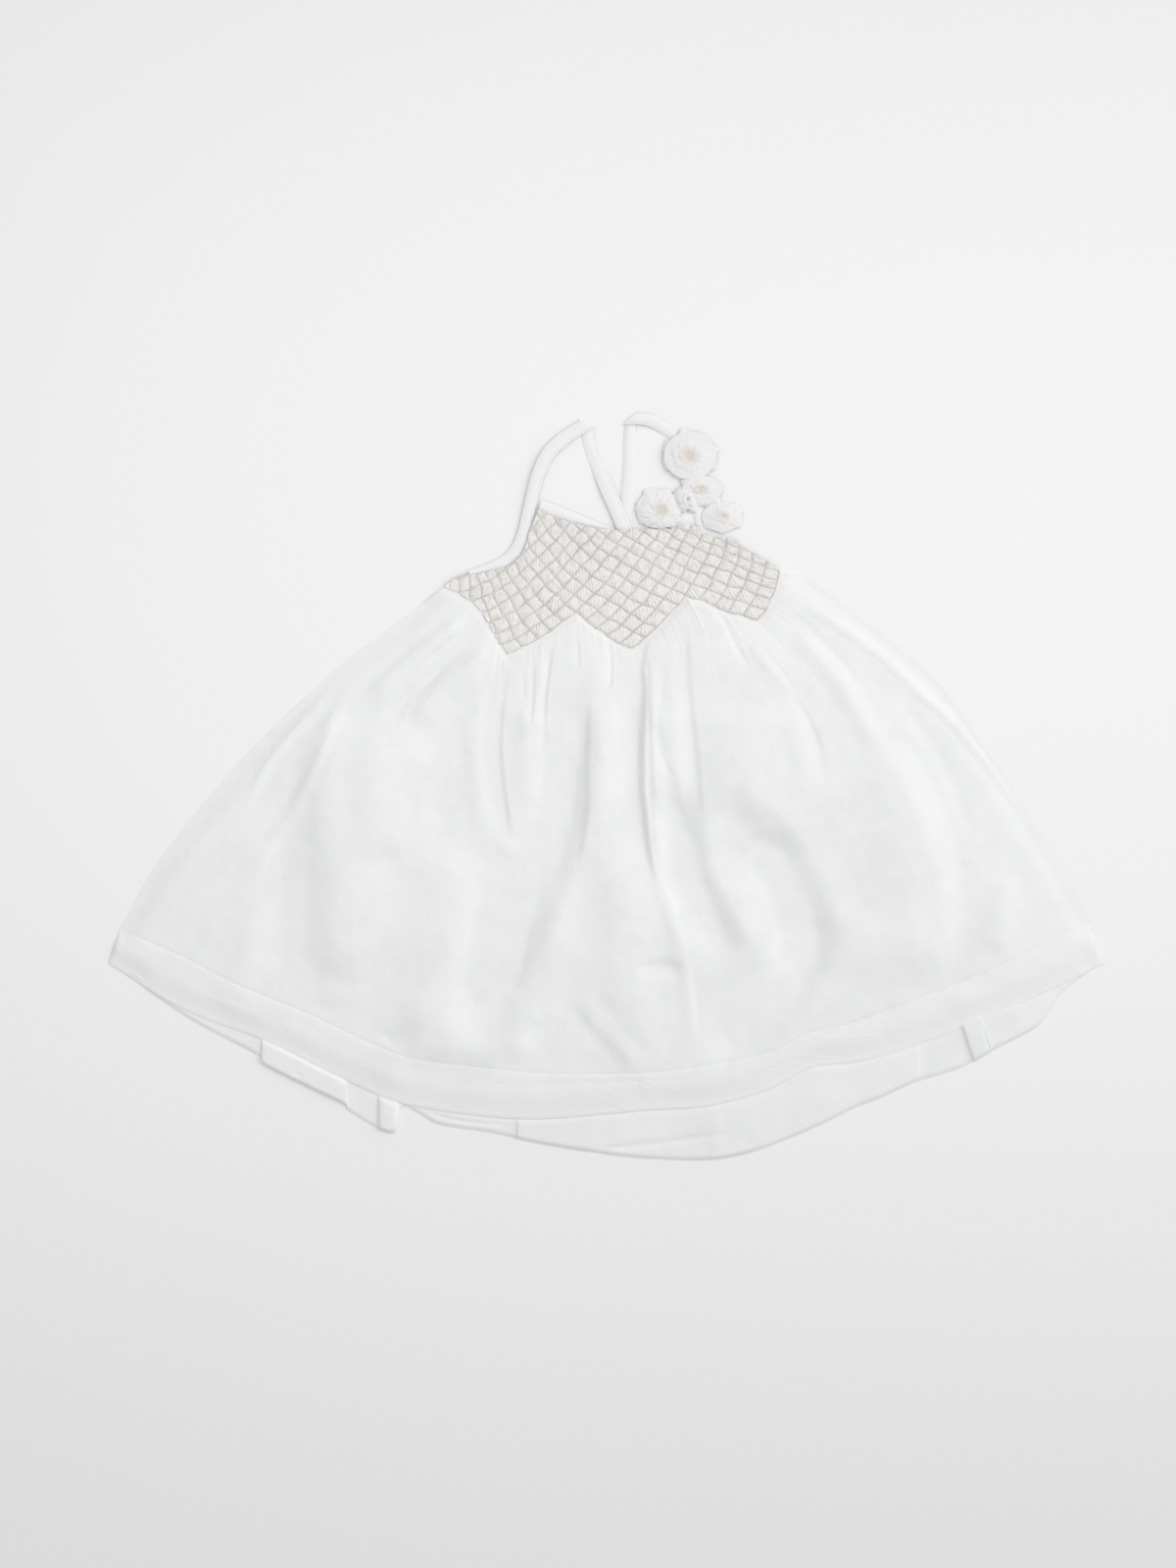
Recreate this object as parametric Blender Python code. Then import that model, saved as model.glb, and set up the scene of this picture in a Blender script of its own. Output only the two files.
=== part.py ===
"""A toddler's sleeveless dress of thin white cotton, laid flat on its back.

The frame is in metres, +Z up, with +X to the right and +Y towards the straps. The origin is on the
surface, below the middle of the dress. Sizes and tables are in millimetres and go through MM.
"""

import math
from collections import namedtuple

import bmesh
import bpy
import numpy as np

MM = 0.001

# Cloth and seams
CLOTH = 1.2  # thickness of the gathered cotton as it lies
SEAM_GAP = 0.3  # between pieces that touch
BACK_TOP = CLOTH  # the back lies on the surface
FRONT_UNDERSIDE = BACK_TOP + SEAM_GAP
FRONT_TOP = FRONT_UNDERSIDE + CLOTH

# Front skirt
HEM_STEP = 0.6  # the turned hem's second layer
HEM_STEP_WIDTH = 1.2
SKIRT_ROWS = 18  # from the smocking to the hem's fold line
SKIRT_ROW_SPREAD = 1.25  # over 1, the rows are closer near the smocking
SWELL = 1.5  # how far the free cloth lifts between its folds
SWELL_REACH = 28.0  # how far in from the side seams it takes to lift
FOLD_FADE = 0.18  # share of a fold's length in which it runs out
SOFTNESS = 0.3  # how gently the cloth comes down to lie on the back
GATHER_RISE = 2.0  # pleats let go below each cell of the smocking
GATHER_REACH = 20.0
TRIM_LOW = -5.0
TRIM_HIGH = 20.0
TRIM_MARGIN = 30.0
SKIRT_DROP = 0.9  # the skirt starts this far below the smocking's edge

# Smocking: cells in diagonal runs
CELL_PUFF = 2.0  # how far a cell stands over the thread lines
CELL_SHOULDER = 0.24  # where a cell's flat top begins, as a share of its side
KNOT_DIP = 0.15
NECK_LIFT = 1.5  # the neckline's middle lies over the ends of the back straps
NECK_LIFT_X = 11.0
NECK_LIFT_Y = 172.0
NECK_LIFT_REACH = (26.0, 15.0)
NECK_LIFT_PLATEAU = 0.6  # share of that reach over which the lift stays whole

# Back
BACK_INSET = 0.5
BACK_ROWS = 6
HEM_COVER = 12.0  # the back's last plain row lies this far inside the front's hem
HEM_COVER_INSET = 8.0  # and this far in from the side seams
FRONT_HEM_CLEARANCE = 0.6
FOLD_END = 3.0  # the ends of the back's pleat folds rise within this length

# Flowers
FLOWER_SIDES = 24

WHITE = (0.84, 0.84, 0.86, 1.0)
CREAM = (0.82, 0.81, 0.78, 1.0)
COTTON_ROUGHNESS = 0.92

Station = namedtuple("Station", "x y")
HemStation = namedtuple("HemStation", "x y top")
Cell = namedtuple("Cell", "run rank x y")
Fold = namedtuple("Fold", "name x0 y0 x1 y1 x2 y2 left right rise runs_out")
Strip = namedtuple("Strip", "x y width underside")
Flower = namedtuple("Flower", "name x y half_width half_depth height petals turn underside")
Reach = namedtuple("Reach", "hem_x columns")

LEFT_SIDE = [
    Station(-110, 136), Station(-147, 106), Station(-178, 83), Station(-234, 31),
    Station(-270, -9), Station(-305, -54), Station(-325, -89), Station(-331, -99),
]
RIGHT_SIDE = [
    Station(119, 146), Station(145, 136), Station(168, 118), Station(198, 95),
    Station(230, 65), Station(253, 32), Station(272, 5), Station(294, -30),
    Station(313, -59), Station(330, -94),
]
FRONT_HEM = [
    Station(-339, -122), Station(-288, -153), Station(-231, -175), Station(-176, -202),
    Station(-139, -217), Station(-91, -225), Station(-49, -228), Station(-5, -225),
    Station(28, -222), Station(70, -219), Station(109, -209), Station(141, -193),
    Station(172, -189), Station(199, -182), Station(235, -169), Station(262, -158),
    Station(297, -143), Station(340, -122),
]
HEM_FOLD_LINE = [
    Station(-331, -99), Station(-287, -118), Station(-258, -133), Station(-199, -158),
    Station(-140, -184), Station(-82, -193), Station(-31, -197), Station(43, -195),
    Station(109, -183), Station(136, -170), Station(172, -161), Station(244, -134),
    Station(280, -118), Station(330, -94),
]
# The back's hem, with the top of its cloth where it shows below the front
BACK_HEM = [
    HemStation(-338, -121, 1.2), HemStation(-288, -158, 1.2), HemStation(-238, -185, 1.2),
    HemStation(-235, -189, 1.6), HemStation(-232, -193, 4.0), HemStation(-206, -206, 4.2),
    HemStation(-179, -219, 4.0), HemStation(-176, -223, 1.2), HemStation(-160, -233, 1.2),
    HemStation(-156, -235, 1.4), HemStation(-153, -237, 4.2), HemStation(-144, -238, 4.0),
    HemStation(-141, -228, 1.4), HemStation(-138, -220, 1.2), HemStation(-126, -226, 1.2),
    HemStation(-112, -233, 1.4), HemStation(-79, -238, 1.6), HemStation(-61, -242, 1.8),
    HemStation(-58, -243, 2.8), HemStation(-32, -248, 2.6), HemStation(-5, -252, 2.8),
    HemStation(18, -255, 2.4), HemStation(55, -257, 2.2), HemStation(79, -256, 3.2),
    HemStation(102, -251, 2.8), HemStation(126, -242, 2.6), HemStation(149, -232, 3.0),
    HemStation(169, -222, 2.2), HemStation(189, -214, 3.0), HemStation(213, -203, 2.6),
    HemStation(217, -202, 1.6), HemStation(240, -195, 1.6), HemStation(251, -190, 1.4),
    HemStation(254, -189, 4.0), HemStation(264, -183, 4.0), HemStation(267, -181, 3.0),
    HemStation(283, -173, 3.2), HemStation(295, -166, 2.6), HemStation(303, -157, 1.8),
    HemStation(311, -145, 1.2), HemStation(323, -134, 1.2), HemStation(338, -121, 1.2),
]
BACK_NECKLINE = [
    Station(-108, 134), Station(-79, 142), Station(-59, 150), Station(-45, 161),
    Station(-32, 168), Station(10, 169), Station(52, 169), Station(85, 161),
    Station(117, 144),
]

# Where some cells of the smocking lie. Runs go down to the right, ranks up to the right.
SMOCKING = [
    Cell(-0.5, 0.5, -64, 94), Cell(-0.5, 2.5, -47, 104), Cell(-0.5, 4.5, -30, 118),
    Cell(-0.5, 6.5, -15, 133), Cell(-0.5, 8.5, -3, 145), Cell(-0.5, 10.5, 10, 156),
    Cell(-0.5, 12.5, 20, 171), Cell(-2.5, 0.5, -74, 110), Cell(-2.5, 4.5, -42, 131),
    Cell(-2.5, 8.5, -17, 155), Cell(-4.5, -0.5, -83, 122), Cell(-4.5, 2.5, -63, 135),
    Cell(-4.5, 4.5, -51, 145), Cell(-4.5, 8.5, -30, 169), Cell(-5.5, -1.5, -95, 132),
    Cell(-6.5, -1.5, -99, 138), Cell(-6.5, 0.5, -83, 139), Cell(-6.5, 6.5, -48, 171),
    Cell(-6.5, 8.5, -40, 181), Cell(1.5, 5.5, -3, 115), Cell(1.5, 9.5, 18, 144),
    Cell(1.5, 13.5, 41, 170), Cell(3.5, 5.5, 11, 106), Cell(3.5, 9.5, 38, 134),
    Cell(3.5, 13.5, 58, 164), Cell(5.5, 13.5, 72, 154), Cell(7.5, 10.5, 82, 126),
    Cell(7.5, 14.5, 90, 154), Cell(9.5, 10.5, 100, 118), Cell(9.5, 14.5, 110, 146),
]
# The tips and valleys of the smocking's lower edge, which is three points
SMOCKING_CORNERS = [
    Cell(0, 0, -67, 89), Cell(0, 5, -20, 118), Cell(5, 5, 18, 93),
    Cell(5, 10, 56, 130), Cell(10, 10, 104, 113), Cell(10, 15, 119, 146),
]
CORNER_WEIGHT = 3.0
POINT_CELLS = 5
FIRST_RUN = -10
LAST_RUN = 10
FIRST_RANK = -4
LAST_RANK = 17
SMOCKED_SIDE = [
    Station(-110, 136), Station(-99, 131), Station(-87, 122), Station(-79, 110), Station(-75, 102),
]
LEFT_ARMHOLE_END = [Station(-104, 141), Station(-95, 145)]
NECK_MIDDLE = [Station(9, 174), Station(22, 174), Station(46, 175), Station(55, 178), Station(63, 177)]
RIGHT_ARMHOLE = [
    Station(67, 172), Station(73, 169), Station(85, 169), Station(94, 162), Station(103, 157),
    Station(113, 151), Station(119, 146),
]

# How far the skirt's columns fan out: where each stretch of the smocking's edge reaches the hem
SKIRT_FAN = [
    Reach(-72, 24), Reach(-18, 10), Reach(55, 10), Reach(112, 10), Reach(209, 10), Reach(340, 10),
]

# Ridges rise and creases fall. Each bends through its middle point, and left and right are the
# widths of its flanks, looking from its start.
FOLDS = [
    Fold("main pleat", 15, 87, 12, -53, 49, -187, 13, 30, 4.5, True),
    Fold("main crease", 25, 96, 24, -53, 61, -185, 5, 5, -3.0, True),
    Fold("second crease", -8, 57, -12, 8, -14, -28, 5, 5, -2.0, False),
    Fold("second trough", -17, 1, -34, -75, -76, -160, 13, 11, -2.2, False),
    Fold("left point crease", -65, 76, -73, 35, -64, -13, 6, 6, -2.0, False),
    Fold("short crease", -84, 36, -91, 6, -98, -30, 9, 7, -1.4, False),
    Fold("left point pleat", -49, 75, -47, -32, -59, -133, 18, 18, 2.6, False),
    Fold("left band", -92, 1, -98, -93, -112, -207, 24, 18, 3.2, True),
    Fold("puffed side", -152, 60, -160, -36, -156, -124, 38, 22, 4.4, False),
    Fold("side trough", -196, 1, -185, -66, -201, -156, 16, 16, -3.0, False),
    Fold("shoulder ridge", -100, 112, -129, 89, -164, 57, 9, 9, 3.0, False),
    Fold("shoulder crease", -82, 107, -114, 85, -148, 47, 7, 6, -3.0, False),
    Fold("outer crease", -180, 69, -206, 38, -232, 6, 6, 5, -2.0, False),
    Fold("outer ridge", -178, 68, -203, 9, -233, -56, 7, 8, 2.2, False),
    Fold("lower crease", -190, 48, -202, 12, -219, -12, 5, 6, -1.4, False),
    Fold("outer swell", -226, -32, -238, -86, -253, -146, 26, 26, 2.6, True),
    Fold("right neck trough", 51, 120, 53, 68, 73, -35, 6, 6, -2.4, False),
    Fold("right pleat", 39, 68, 39, -32, 81, -140, 12, 14, 3.0, False),
    Fold("right crease", 49, 21, 65, -60, 98, -124, 12, 8, -2.8, False),
    Fold("pouch", 101, -46, 101, -83, 119, -133, 26, 26, 3.4, False),
    Fold("pouch crease", 90, -27, 136, -44, 165, -122, 12, 8, -2.8, False),
    Fold("double pleat", 97, 102, 124, 57, 140, -7, 8, 8, 2.6, False),
    Fold("double pleat crease", 104, 109, 144, 67, 154, -2, 5, 5, -1.8, False),
    Fold("inner pleat crease", 91, 104, 104, 81, 116, 56, 4, 4, -1.8, False),
    Fold("right shoulder ridge", 126, 108, 160, 71, 189, 18, 11, 11, 2.8, False),
    Fold("right shoulder crease", 118, 125, 150, 98, 173, 68, 5, 5, -1.8, False),
    Fold("side roll", 156, 116, 246, 38, 310, -74, 5, 5, -1.4, False),
    Fold("right fall", 193, 35, 215, -32, 209, -173, 22, 22, 2.8, True),
    Fold("outer right crease", 200, 61, 233, 11, 251, -38, 6, 6, -1.6, False),
    Fold("right flat", 179, -19, 182, -66, 179, -116, 16, 16, -1.6, False),
    Fold("hem lift left", -205, -160, -205, -173, -205, -188, 20, 20, 2.0, True),
    Fold("hem lift tab", -144, -170, -146, -193, -147, -215, 9, 9, 2.2, True),
    Fold("hem trough left", -126, -187, -100, -191, -73, -188, 6, 6, -1.4, False),
    Fold("hem trough middle", -62, -183, -45, -187, -28, -184, 6, 6, -1.4, False),
    Fold("hem lift right", 244, -133, 248, -148, 251, -164, 11, 11, 2.4, True),
]

# Bias strips, from where each starts on the front to its end on the back's neckline
ON_STRAP = CLOTH + SEAM_GAP  # the underside of what lies on a strip
LEFT_STRAP_FRONT = [
    Strip(-93, 145, 3.5, 1.5), Strip(-79, 149, 6, 1.5), Strip(-67, 154, 8.5, 1.5),
    Strip(-59, 163, 9, 1.7), Strip(-55, 175, 8, 2.4), Strip(-52, 189, 7.5, 3.4),
    Strip(-49, 202, 7.5, 4.4), Strip(-45, 215, 8, 4.6), Strip(-39, 227, 8.5, 3.8),
    Strip(-30, 236, 8.5, 2.6), Strip(-20, 243, 8.5, 1.7),
]
LEFT_STRAP_FOLD = Strip(-13, 247, 8.7, ON_STRAP)
LEFT_STRAP_BACK = [
    Strip(-10, 233, 9, 0), Strip(-4.5, 218, 9.3, 0.2), Strip(2, 202, 9.3, 1.5),
    Strip(8.3, 188, 9.3, 1.5), Strip(15, 171, 9.3, 1.5),
]
RIGHT_STRAP_FRONT = [
    Strip(66, 172, 6, 0), Strip(64, 186, 7.5, 0), Strip(61, 202, 8, 0), Strip(55, 222, 8, 0),
    Strip(48, 238, 8, 0), Strip(39, 246, 8, 0.5), Strip(29, 250.5, 8, 1.4),
]
RIGHT_STRAP_FOLD = Strip(18, 251, 8, ON_STRAP)
RIGHT_STRAP_BACK = [
    Strip(16.5, 236, 8, 0), Strip(16.5, 222, 8.5, 0), Strip(15.5, 206, 9, 0),
    Strip(14, 190, 9, 0), Strip(12.5, 170, 9, 0),
]
NECK_BINDING = [
    Strip(-44.5, 191.5, 7, 1.5), Strip(-37, 188.5, 8.5, 1.5), Strip(-28, 185, 8, 1.5),
    Strip(-18, 181.5, 7, 1.5), Strip(-9, 178.5, 5.5, 1.5), Strip(0, 176, 3, 1.5),
    Strip(6, 175.2, 1.8, 1.5),
]
BINDING_THICKNESS = 1.8
ARMHOLE_STRIPS = 5  # sections of the left strap that lie along the armhole

FLOWERS = [
    Flower("flower_1", 61, 226.3, 22.0, 16.5, 11.0, 6, 0.3, ON_STRAP),
    Flower("flower_2", 37, 188.2, 17.0, 13.0, 11.0, 5, 1.1, 0.0),
    Flower("flower_3", 81.9, 184.5, 14.2, 11.0, 9.5, 5, 0.6, 0.0),
    Flower("flower_4", 66.5, 200.8, 11.5, 8.4, 7.5, 4, 0.2, ON_STRAP),
]
# From the rim to the middle: radius and height as shares, and how much the petals show
FlowerRing = namedtuple("FlowerRing", "radius height lobes twist")
FLOWER_RINGS = [
    FlowerRing(0.90, 0.00, 0.5, 0.0), FlowerRing(1.00, 0.22, 1.0, 0.0),
    FlowerRing(0.86, 0.66, 1.0, 0.1), FlowerRing(0.66, 0.56, 0.6, 0.4),
    FlowerRing(0.46, 1.00, 1.2, 0.7), FlowerRing(0.20, 0.66, 0.6, 1.2),
]
PETAL_DEPTH = 0.07


def clear_scene():
    for old in list(bpy.data.objects):
        bpy.data.objects.remove(old, do_unlink=True)


def cloth_material(name, colour):
    material = bpy.data.materials.new(name)
    material.use_nodes = True
    shader = material.node_tree.nodes["Principled BSDF"]
    shader.inputs["Base Color"].default_value = colour
    shader.inputs["Roughness"].default_value = COTTON_ROUGHNESS
    shader.inputs["Metallic"].default_value = 0.0
    return material


def make_object(name, points, faces, material):
    """A closed solid from points in millimetres, its faces turned outwards."""
    mesh = bpy.data.meshes.new(name)
    mesh.from_pydata([tuple(point) for point in np.asarray(points) * MM], [], faces)
    shape = bmesh.new()
    shape.from_mesh(mesh)
    bmesh.ops.recalc_face_normals(shape, faces=shape.faces)
    shape.to_mesh(mesh)
    shape.free()
    mesh.materials.append(material)
    mesh.shade_smooth()
    mesh.set_sharp_from_angle(angle=math.radians(50))
    solid = bpy.data.objects.new(name, mesh)
    bpy.context.scene.collection.objects.link(solid)
    return solid


def grid_wall(name, outer, inner, material):
    """A closed wall between two grids of points, rows by columns by 3."""
    rows, columns = outer.shape[:2]
    points = np.concatenate([outer.reshape(-1, 3), inner.reshape(-1, 3)])
    layer = rows * columns

    def index(row, column):
        return row * columns + column

    faces = []
    for row in range(rows - 1):
        for column in range(columns - 1):
            corners = [
                index(row, column), index(row + 1, column),
                index(row + 1, column + 1), index(row, column + 1),
            ]
            faces.append(corners)
            faces.append([layer + corners[i] for i in (0, 3, 2, 1)])
    border = [index(0, column) for column in range(columns)]
    border += [index(row, columns - 1) for row in range(1, rows)]
    border += [index(rows - 1, column) for column in range(columns - 2, -1, -1)]
    border += [index(row, 0) for row in range(rows - 2, 0, -1)]
    for here, after in zip(border, border[1:] + border[:1]):
        faces.append([here, after, layer + after, layer + here])
    return make_object(name, points, faces, material)


def plan(stations):
    return np.array([(station.x, station.y) for station in stations], float)


def smooth_curve(points, steps=12):
    """A dense curve through the points, with tangents parallel to their neighbours' chords."""
    points = np.asarray(points, float)
    padded = np.vstack([2 * points[0] - points[1], points, 2 * points[-1] - points[-2]])
    dense = []
    for i in range(1, len(padded) - 2):
        before, start, end, after = padded[i - 1 : i + 3]
        for t in np.arange(steps) / steps:
            out = (end - before) / 2
            into = (after - start) / 2
            dense.append(
                (2 * t**3 - 3 * t**2 + 1) * start + (t**3 - 2 * t**2 + t) * out
                + (3 * t**2 - 2 * t**3) * end + (t**3 - t**2) * into
            )
    dense.append(points[-1])
    return np.array(dense)


def at_shares(curve, shares):
    """Points of a curve at shares of its length."""
    steps = np.linalg.norm(np.diff(curve, axis=0), axis=1)
    length = np.concatenate([[0], np.cumsum(steps)])
    return np.stack([np.interp(shares, length / length[-1], curve[:, i]) for i in (0, 1)], -1)


def at_x(curve, x):
    return np.interp(x, curve[:, 0], curve[:, 1])


def from_path(points, path):
    """How far points lie from a path, left of it positive, and how far along it, from 0 to 1."""
    start = path[:-1]
    step = np.diff(path, axis=0)
    lengths = np.linalg.norm(step, axis=1)
    offset = points[:, None, :] - start[None]
    share = np.clip((offset * step).sum(-1) / lengths**2, 0, 1)
    apart = offset - share[..., None] * step
    distance = np.linalg.norm(apart, axis=-1)
    nearest = distance.argmin(axis=1)
    every = np.arange(len(points))
    side = step[nearest, 0] * apart[every, nearest, 1] - step[nearest, 1] * apart[every, nearest, 0]
    reached = np.concatenate([[0], np.cumsum(lengths)])
    along = (reached[nearest] + share[every, nearest] * lengths[nearest]) / reached[-1]
    return np.where(side >= 0, 1, -1) * distance[every, nearest], along


def ease(share):
    share = np.clip(share, 0, 1)
    return share * share * (3 - 2 * share)


def fold_rise(fold, points):
    """The height that one ridge or crease adds at each point."""
    start = np.array([fold.x0, fold.y0], float)
    middle = np.array([fold.x1, fold.y1], float)
    end = np.array([fold.x2, fold.y2], float)
    bend = 2 * middle - (start + end) / 2
    t = np.linspace(0, 1, 24)[:, None]
    path = (1 - t) ** 2 * start + 2 * t * (1 - t) * bend + t**2 * end
    offset, along = from_path(points, path)
    width = np.where(offset > 0, fold.left, fold.right)
    profile = 0.5 * (1 + np.cos(np.pi * np.clip(np.abs(offset) / width, 0, 1)))
    fade = ease(along / FOLD_FADE)
    if not fold.runs_out:
        fade = fade * ease((1 - along) / FOLD_FADE)
    return fold.rise * profile * fade


def panel(top, bottom, left, right, down):
    """A Coons patch in plan: rows by columns by 2, from its four edges."""
    across = np.linspace(0, 1, len(top))
    spread = (bottom[:, 0] - bottom[0, 0]) / (bottom[-1, 0] - bottom[0, 0])
    rows = []
    for share, left_point, right_point in zip(down, left, right):
        row = (1 - share) * top + share * bottom
        mix = ((1 - share) * across + share * spread)[:, None]
        rows.append(row + (1 - mix) * (left_point - row[0]) + mix * (right_point - row[-1]))
    return np.array(rows)


def smocking_terms(run, rank):
    run, rank = np.asarray(run) / 10, np.asarray(rank) / 10
    return np.stack([run**i * rank**j for i in range(4) for j in range(4 - i)], -1)


def smocking_map():
    """A function from run and rank to the plan, a cubic that passes close to the given cells."""
    cells = SMOCKING + SMOCKING_CORNERS
    weight = np.array([1.0] * len(SMOCKING) + [CORNER_WEIGHT] * len(SMOCKING_CORNERS))[:, None]
    terms = smocking_terms([cell.run for cell in cells], [cell.rank for cell in cells])
    places = plan(cells)
    factors = np.linalg.lstsq(terms * weight, places * weight, rcond=None)[0]
    return lambda run, rank: smocking_terms(run, rank) @ factors


def lowest_rank(run):
    """The smocking's lower edge: three points, each of five cells."""
    return FIRST_RANK if run < 0 else POINT_CELLS * (1 + run // POINT_CELLS)


def highest_rank(run):
    """Past the neckline by a cell or two, for the trim."""
    return min(LAST_RANK, math.ceil(9.5 + 0.72 * (run - FIRST_RUN + 1)))


def strip_edge(strips, side, extra):
    """One edge of a flat strip in plan, and extra beyond it. Side 1 is to the right of its way."""
    centres = plan(strips)
    along = np.gradient(centres, axis=0)
    along /= np.linalg.norm(along, axis=1)[:, None]
    right = np.stack([along[:, 1], -along[:, 0]], -1)
    reach = np.array([strip.width / 2 + extra for strip in strips])
    return centres + side * right * reach[:, None]


def smocking_outline(place):
    """The smocked panel's trim line in plan, from the left armhole's corner round by the hem side."""
    left_point = place(0, 0)
    below = left_point[1] - TRIM_MARGIN
    beyond = RIGHT_ARMHOLE[-1].x + TRIM_MARGIN
    outline = [tuple(point) for point in plan(SMOCKED_SIDE)]
    outline += [tuple(left_point), (left_point[0], below), (beyond, below)]
    outline += [(beyond, RIGHT_ARMHOLE[-1].y)]
    outline += [tuple(point) for point in plan(RIGHT_ARMHOLE)[::-1]]
    outline += [tuple(point) for point in plan(NECK_MIDDLE)[::-1]]
    outline += [tuple(point) for point in strip_edge(NECK_BINDING, 1, SEAM_GAP)[::-1]]
    armhole = strip_edge(LEFT_STRAP_FRONT, 1, SEAM_GAP)[:ARMHOLE_STRIPS]
    outline += [tuple(point) for point in armhole[::-1]]
    outline += [tuple(point) for point in plan(LEFT_ARMHOLE_END)[::-1]]
    return outline


def neck_lift(points):
    far = (points - (NECK_LIFT_X, NECK_LIFT_Y)) / NECK_LIFT_REACH
    return NECK_LIFT * ease(1 + NECK_LIFT_PLATEAU - np.linalg.norm(far, axis=-1))


def make_trim(outline):
    """The outline as a tall block, which keeps what is inside it."""
    count = len(outline)
    points = [(x, y, TRIM_LOW) for x, y in outline] + [(x, y, TRIM_HIGH) for x, y in outline]
    faces = [list(range(count)), list(range(count, 2 * count))]
    for i in range(count):
        after = (i + 1) % count
        faces.append([i, after, count + after, count + i])
    trim = make_object("smocking_trim", points, faces, cloth_material("trim", WHITE))
    trim.hide_render = True
    trim.display_type = "WIRE"
    return trim


def make_smocking(material):
    """Cells raised in the wall's outer points, over a plain inside, trimmed to the neck and armholes."""
    place = smocking_map()
    points = []
    known = {}

    def vertex(run, rank, height):
        """The vertex at this place on one of the wall's faces. Height None is the plain inside."""
        key = (round(run, 3), round(rank, 3), height is None)
        if key not in known:
            x, y = place(run, rank)
            inside = FRONT_UNDERSIDE + neck_lift(np.array([x, y]))
            known[key] = len(points)
            points.append((x, y, inside + (height or 0.0)))
        return known[key]

    steps = (0.0, CELL_SHOULDER, 1 - CELL_SHOULDER, 1.0)
    cells = {
        (run, rank)
        for run in range(FIRST_RUN, LAST_RUN)
        for rank in range(lowest_rank(run), highest_rank(run))
    }
    faces = []
    for run, rank in sorted(cells):
        def outer(i, j):
            on_run_edge = i in (0, 3)
            on_rank_edge = j in (0, 3)
            height = CLOTH + CELL_PUFF
            if on_run_edge or on_rank_edge:
                height = CLOTH
            if on_run_edge and on_rank_edge:
                height = CLOTH - KNOT_DIP
            return vertex(run + steps[i], rank + steps[j], height)

        for i in range(3):
            for j in range(3):
                faces.append([outer(i, j), outer(i + 1, j), outer(i + 1, j + 1), outer(i, j + 1)])
        inner = [vertex(run + i, rank + j, None) for i, j in ((0, 0), (0, 1), (1, 1), (1, 0))]
        faces.append(inner)
        sides = (
            ((run, rank - 1), [(i, 0) for i in range(4)], (0, 3)),
            ((run + 1, rank), [(3, j) for j in range(4)], (3, 2)),
            ((run, rank + 1), [(i, 3) for i in (3, 2, 1, 0)], (2, 1)),
            ((run - 1, rank), [(0, j) for j in (3, 2, 1, 0)], (1, 0)),
        )
        for neighbour, chain, (first, last) in sides:
            if neighbour not in cells:
                faces.append([outer(i, j) for i, j in chain] + [inner[last], inner[first]])
    smocking = make_object("front_smocking", points, faces, material)
    trim = smocking.modifiers.new("Trim", "BOOLEAN")
    trim.operation = "INTERSECT"
    trim.object = make_trim(smocking_outline(place))
    return smocking, place


def skirt_top(place):
    """The skirt's upper edge, a column for each point, just below the smocking's lower edge."""
    edge = [at_shares(
        np.vstack([plan(SMOCKED_SIDE), place(0, 0)]), np.linspace(0, 1, SKIRT_FAN[0].columns + 1)
    )]
    run, rank = 0, 0
    for i, reach in enumerate(SKIRT_FAN[1:]):
        share = np.arange(1, reach.columns + 1) / reach.columns * POINT_CELLS
        if i % 2 == 0:
            edge.append(place(np.full(len(share), run), rank + share))
            rank += POINT_CELLS
        else:
            edge.append(place(run + share, np.full(len(share), rank)))
            run += POINT_CELLS
    return np.vstack(edge) - (0, SKIRT_DROP)


def skirt_height(points, gather):
    """The front's top surface over each point of the skirt."""
    flat = points.reshape(-1, 2)
    lift = np.zeros(len(flat))
    for fold in FOLDS:
        lift += fold_rise(fold, flat)
    from_side = np.minimum(
        np.abs(from_path(flat, smooth_curve(plan(LEFT_SIDE)))[0]),
        np.abs(from_path(flat, smooth_curve(plan(RIGHT_SIDE)))[0]),
    )
    lift += SWELL * ease(from_side / SWELL_REACH)
    lift = lift.reshape(points.shape[:2]) + gather
    return FRONT_TOP + (lift + np.sqrt(lift**2 + SOFTNESS**2)) / 2


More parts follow.
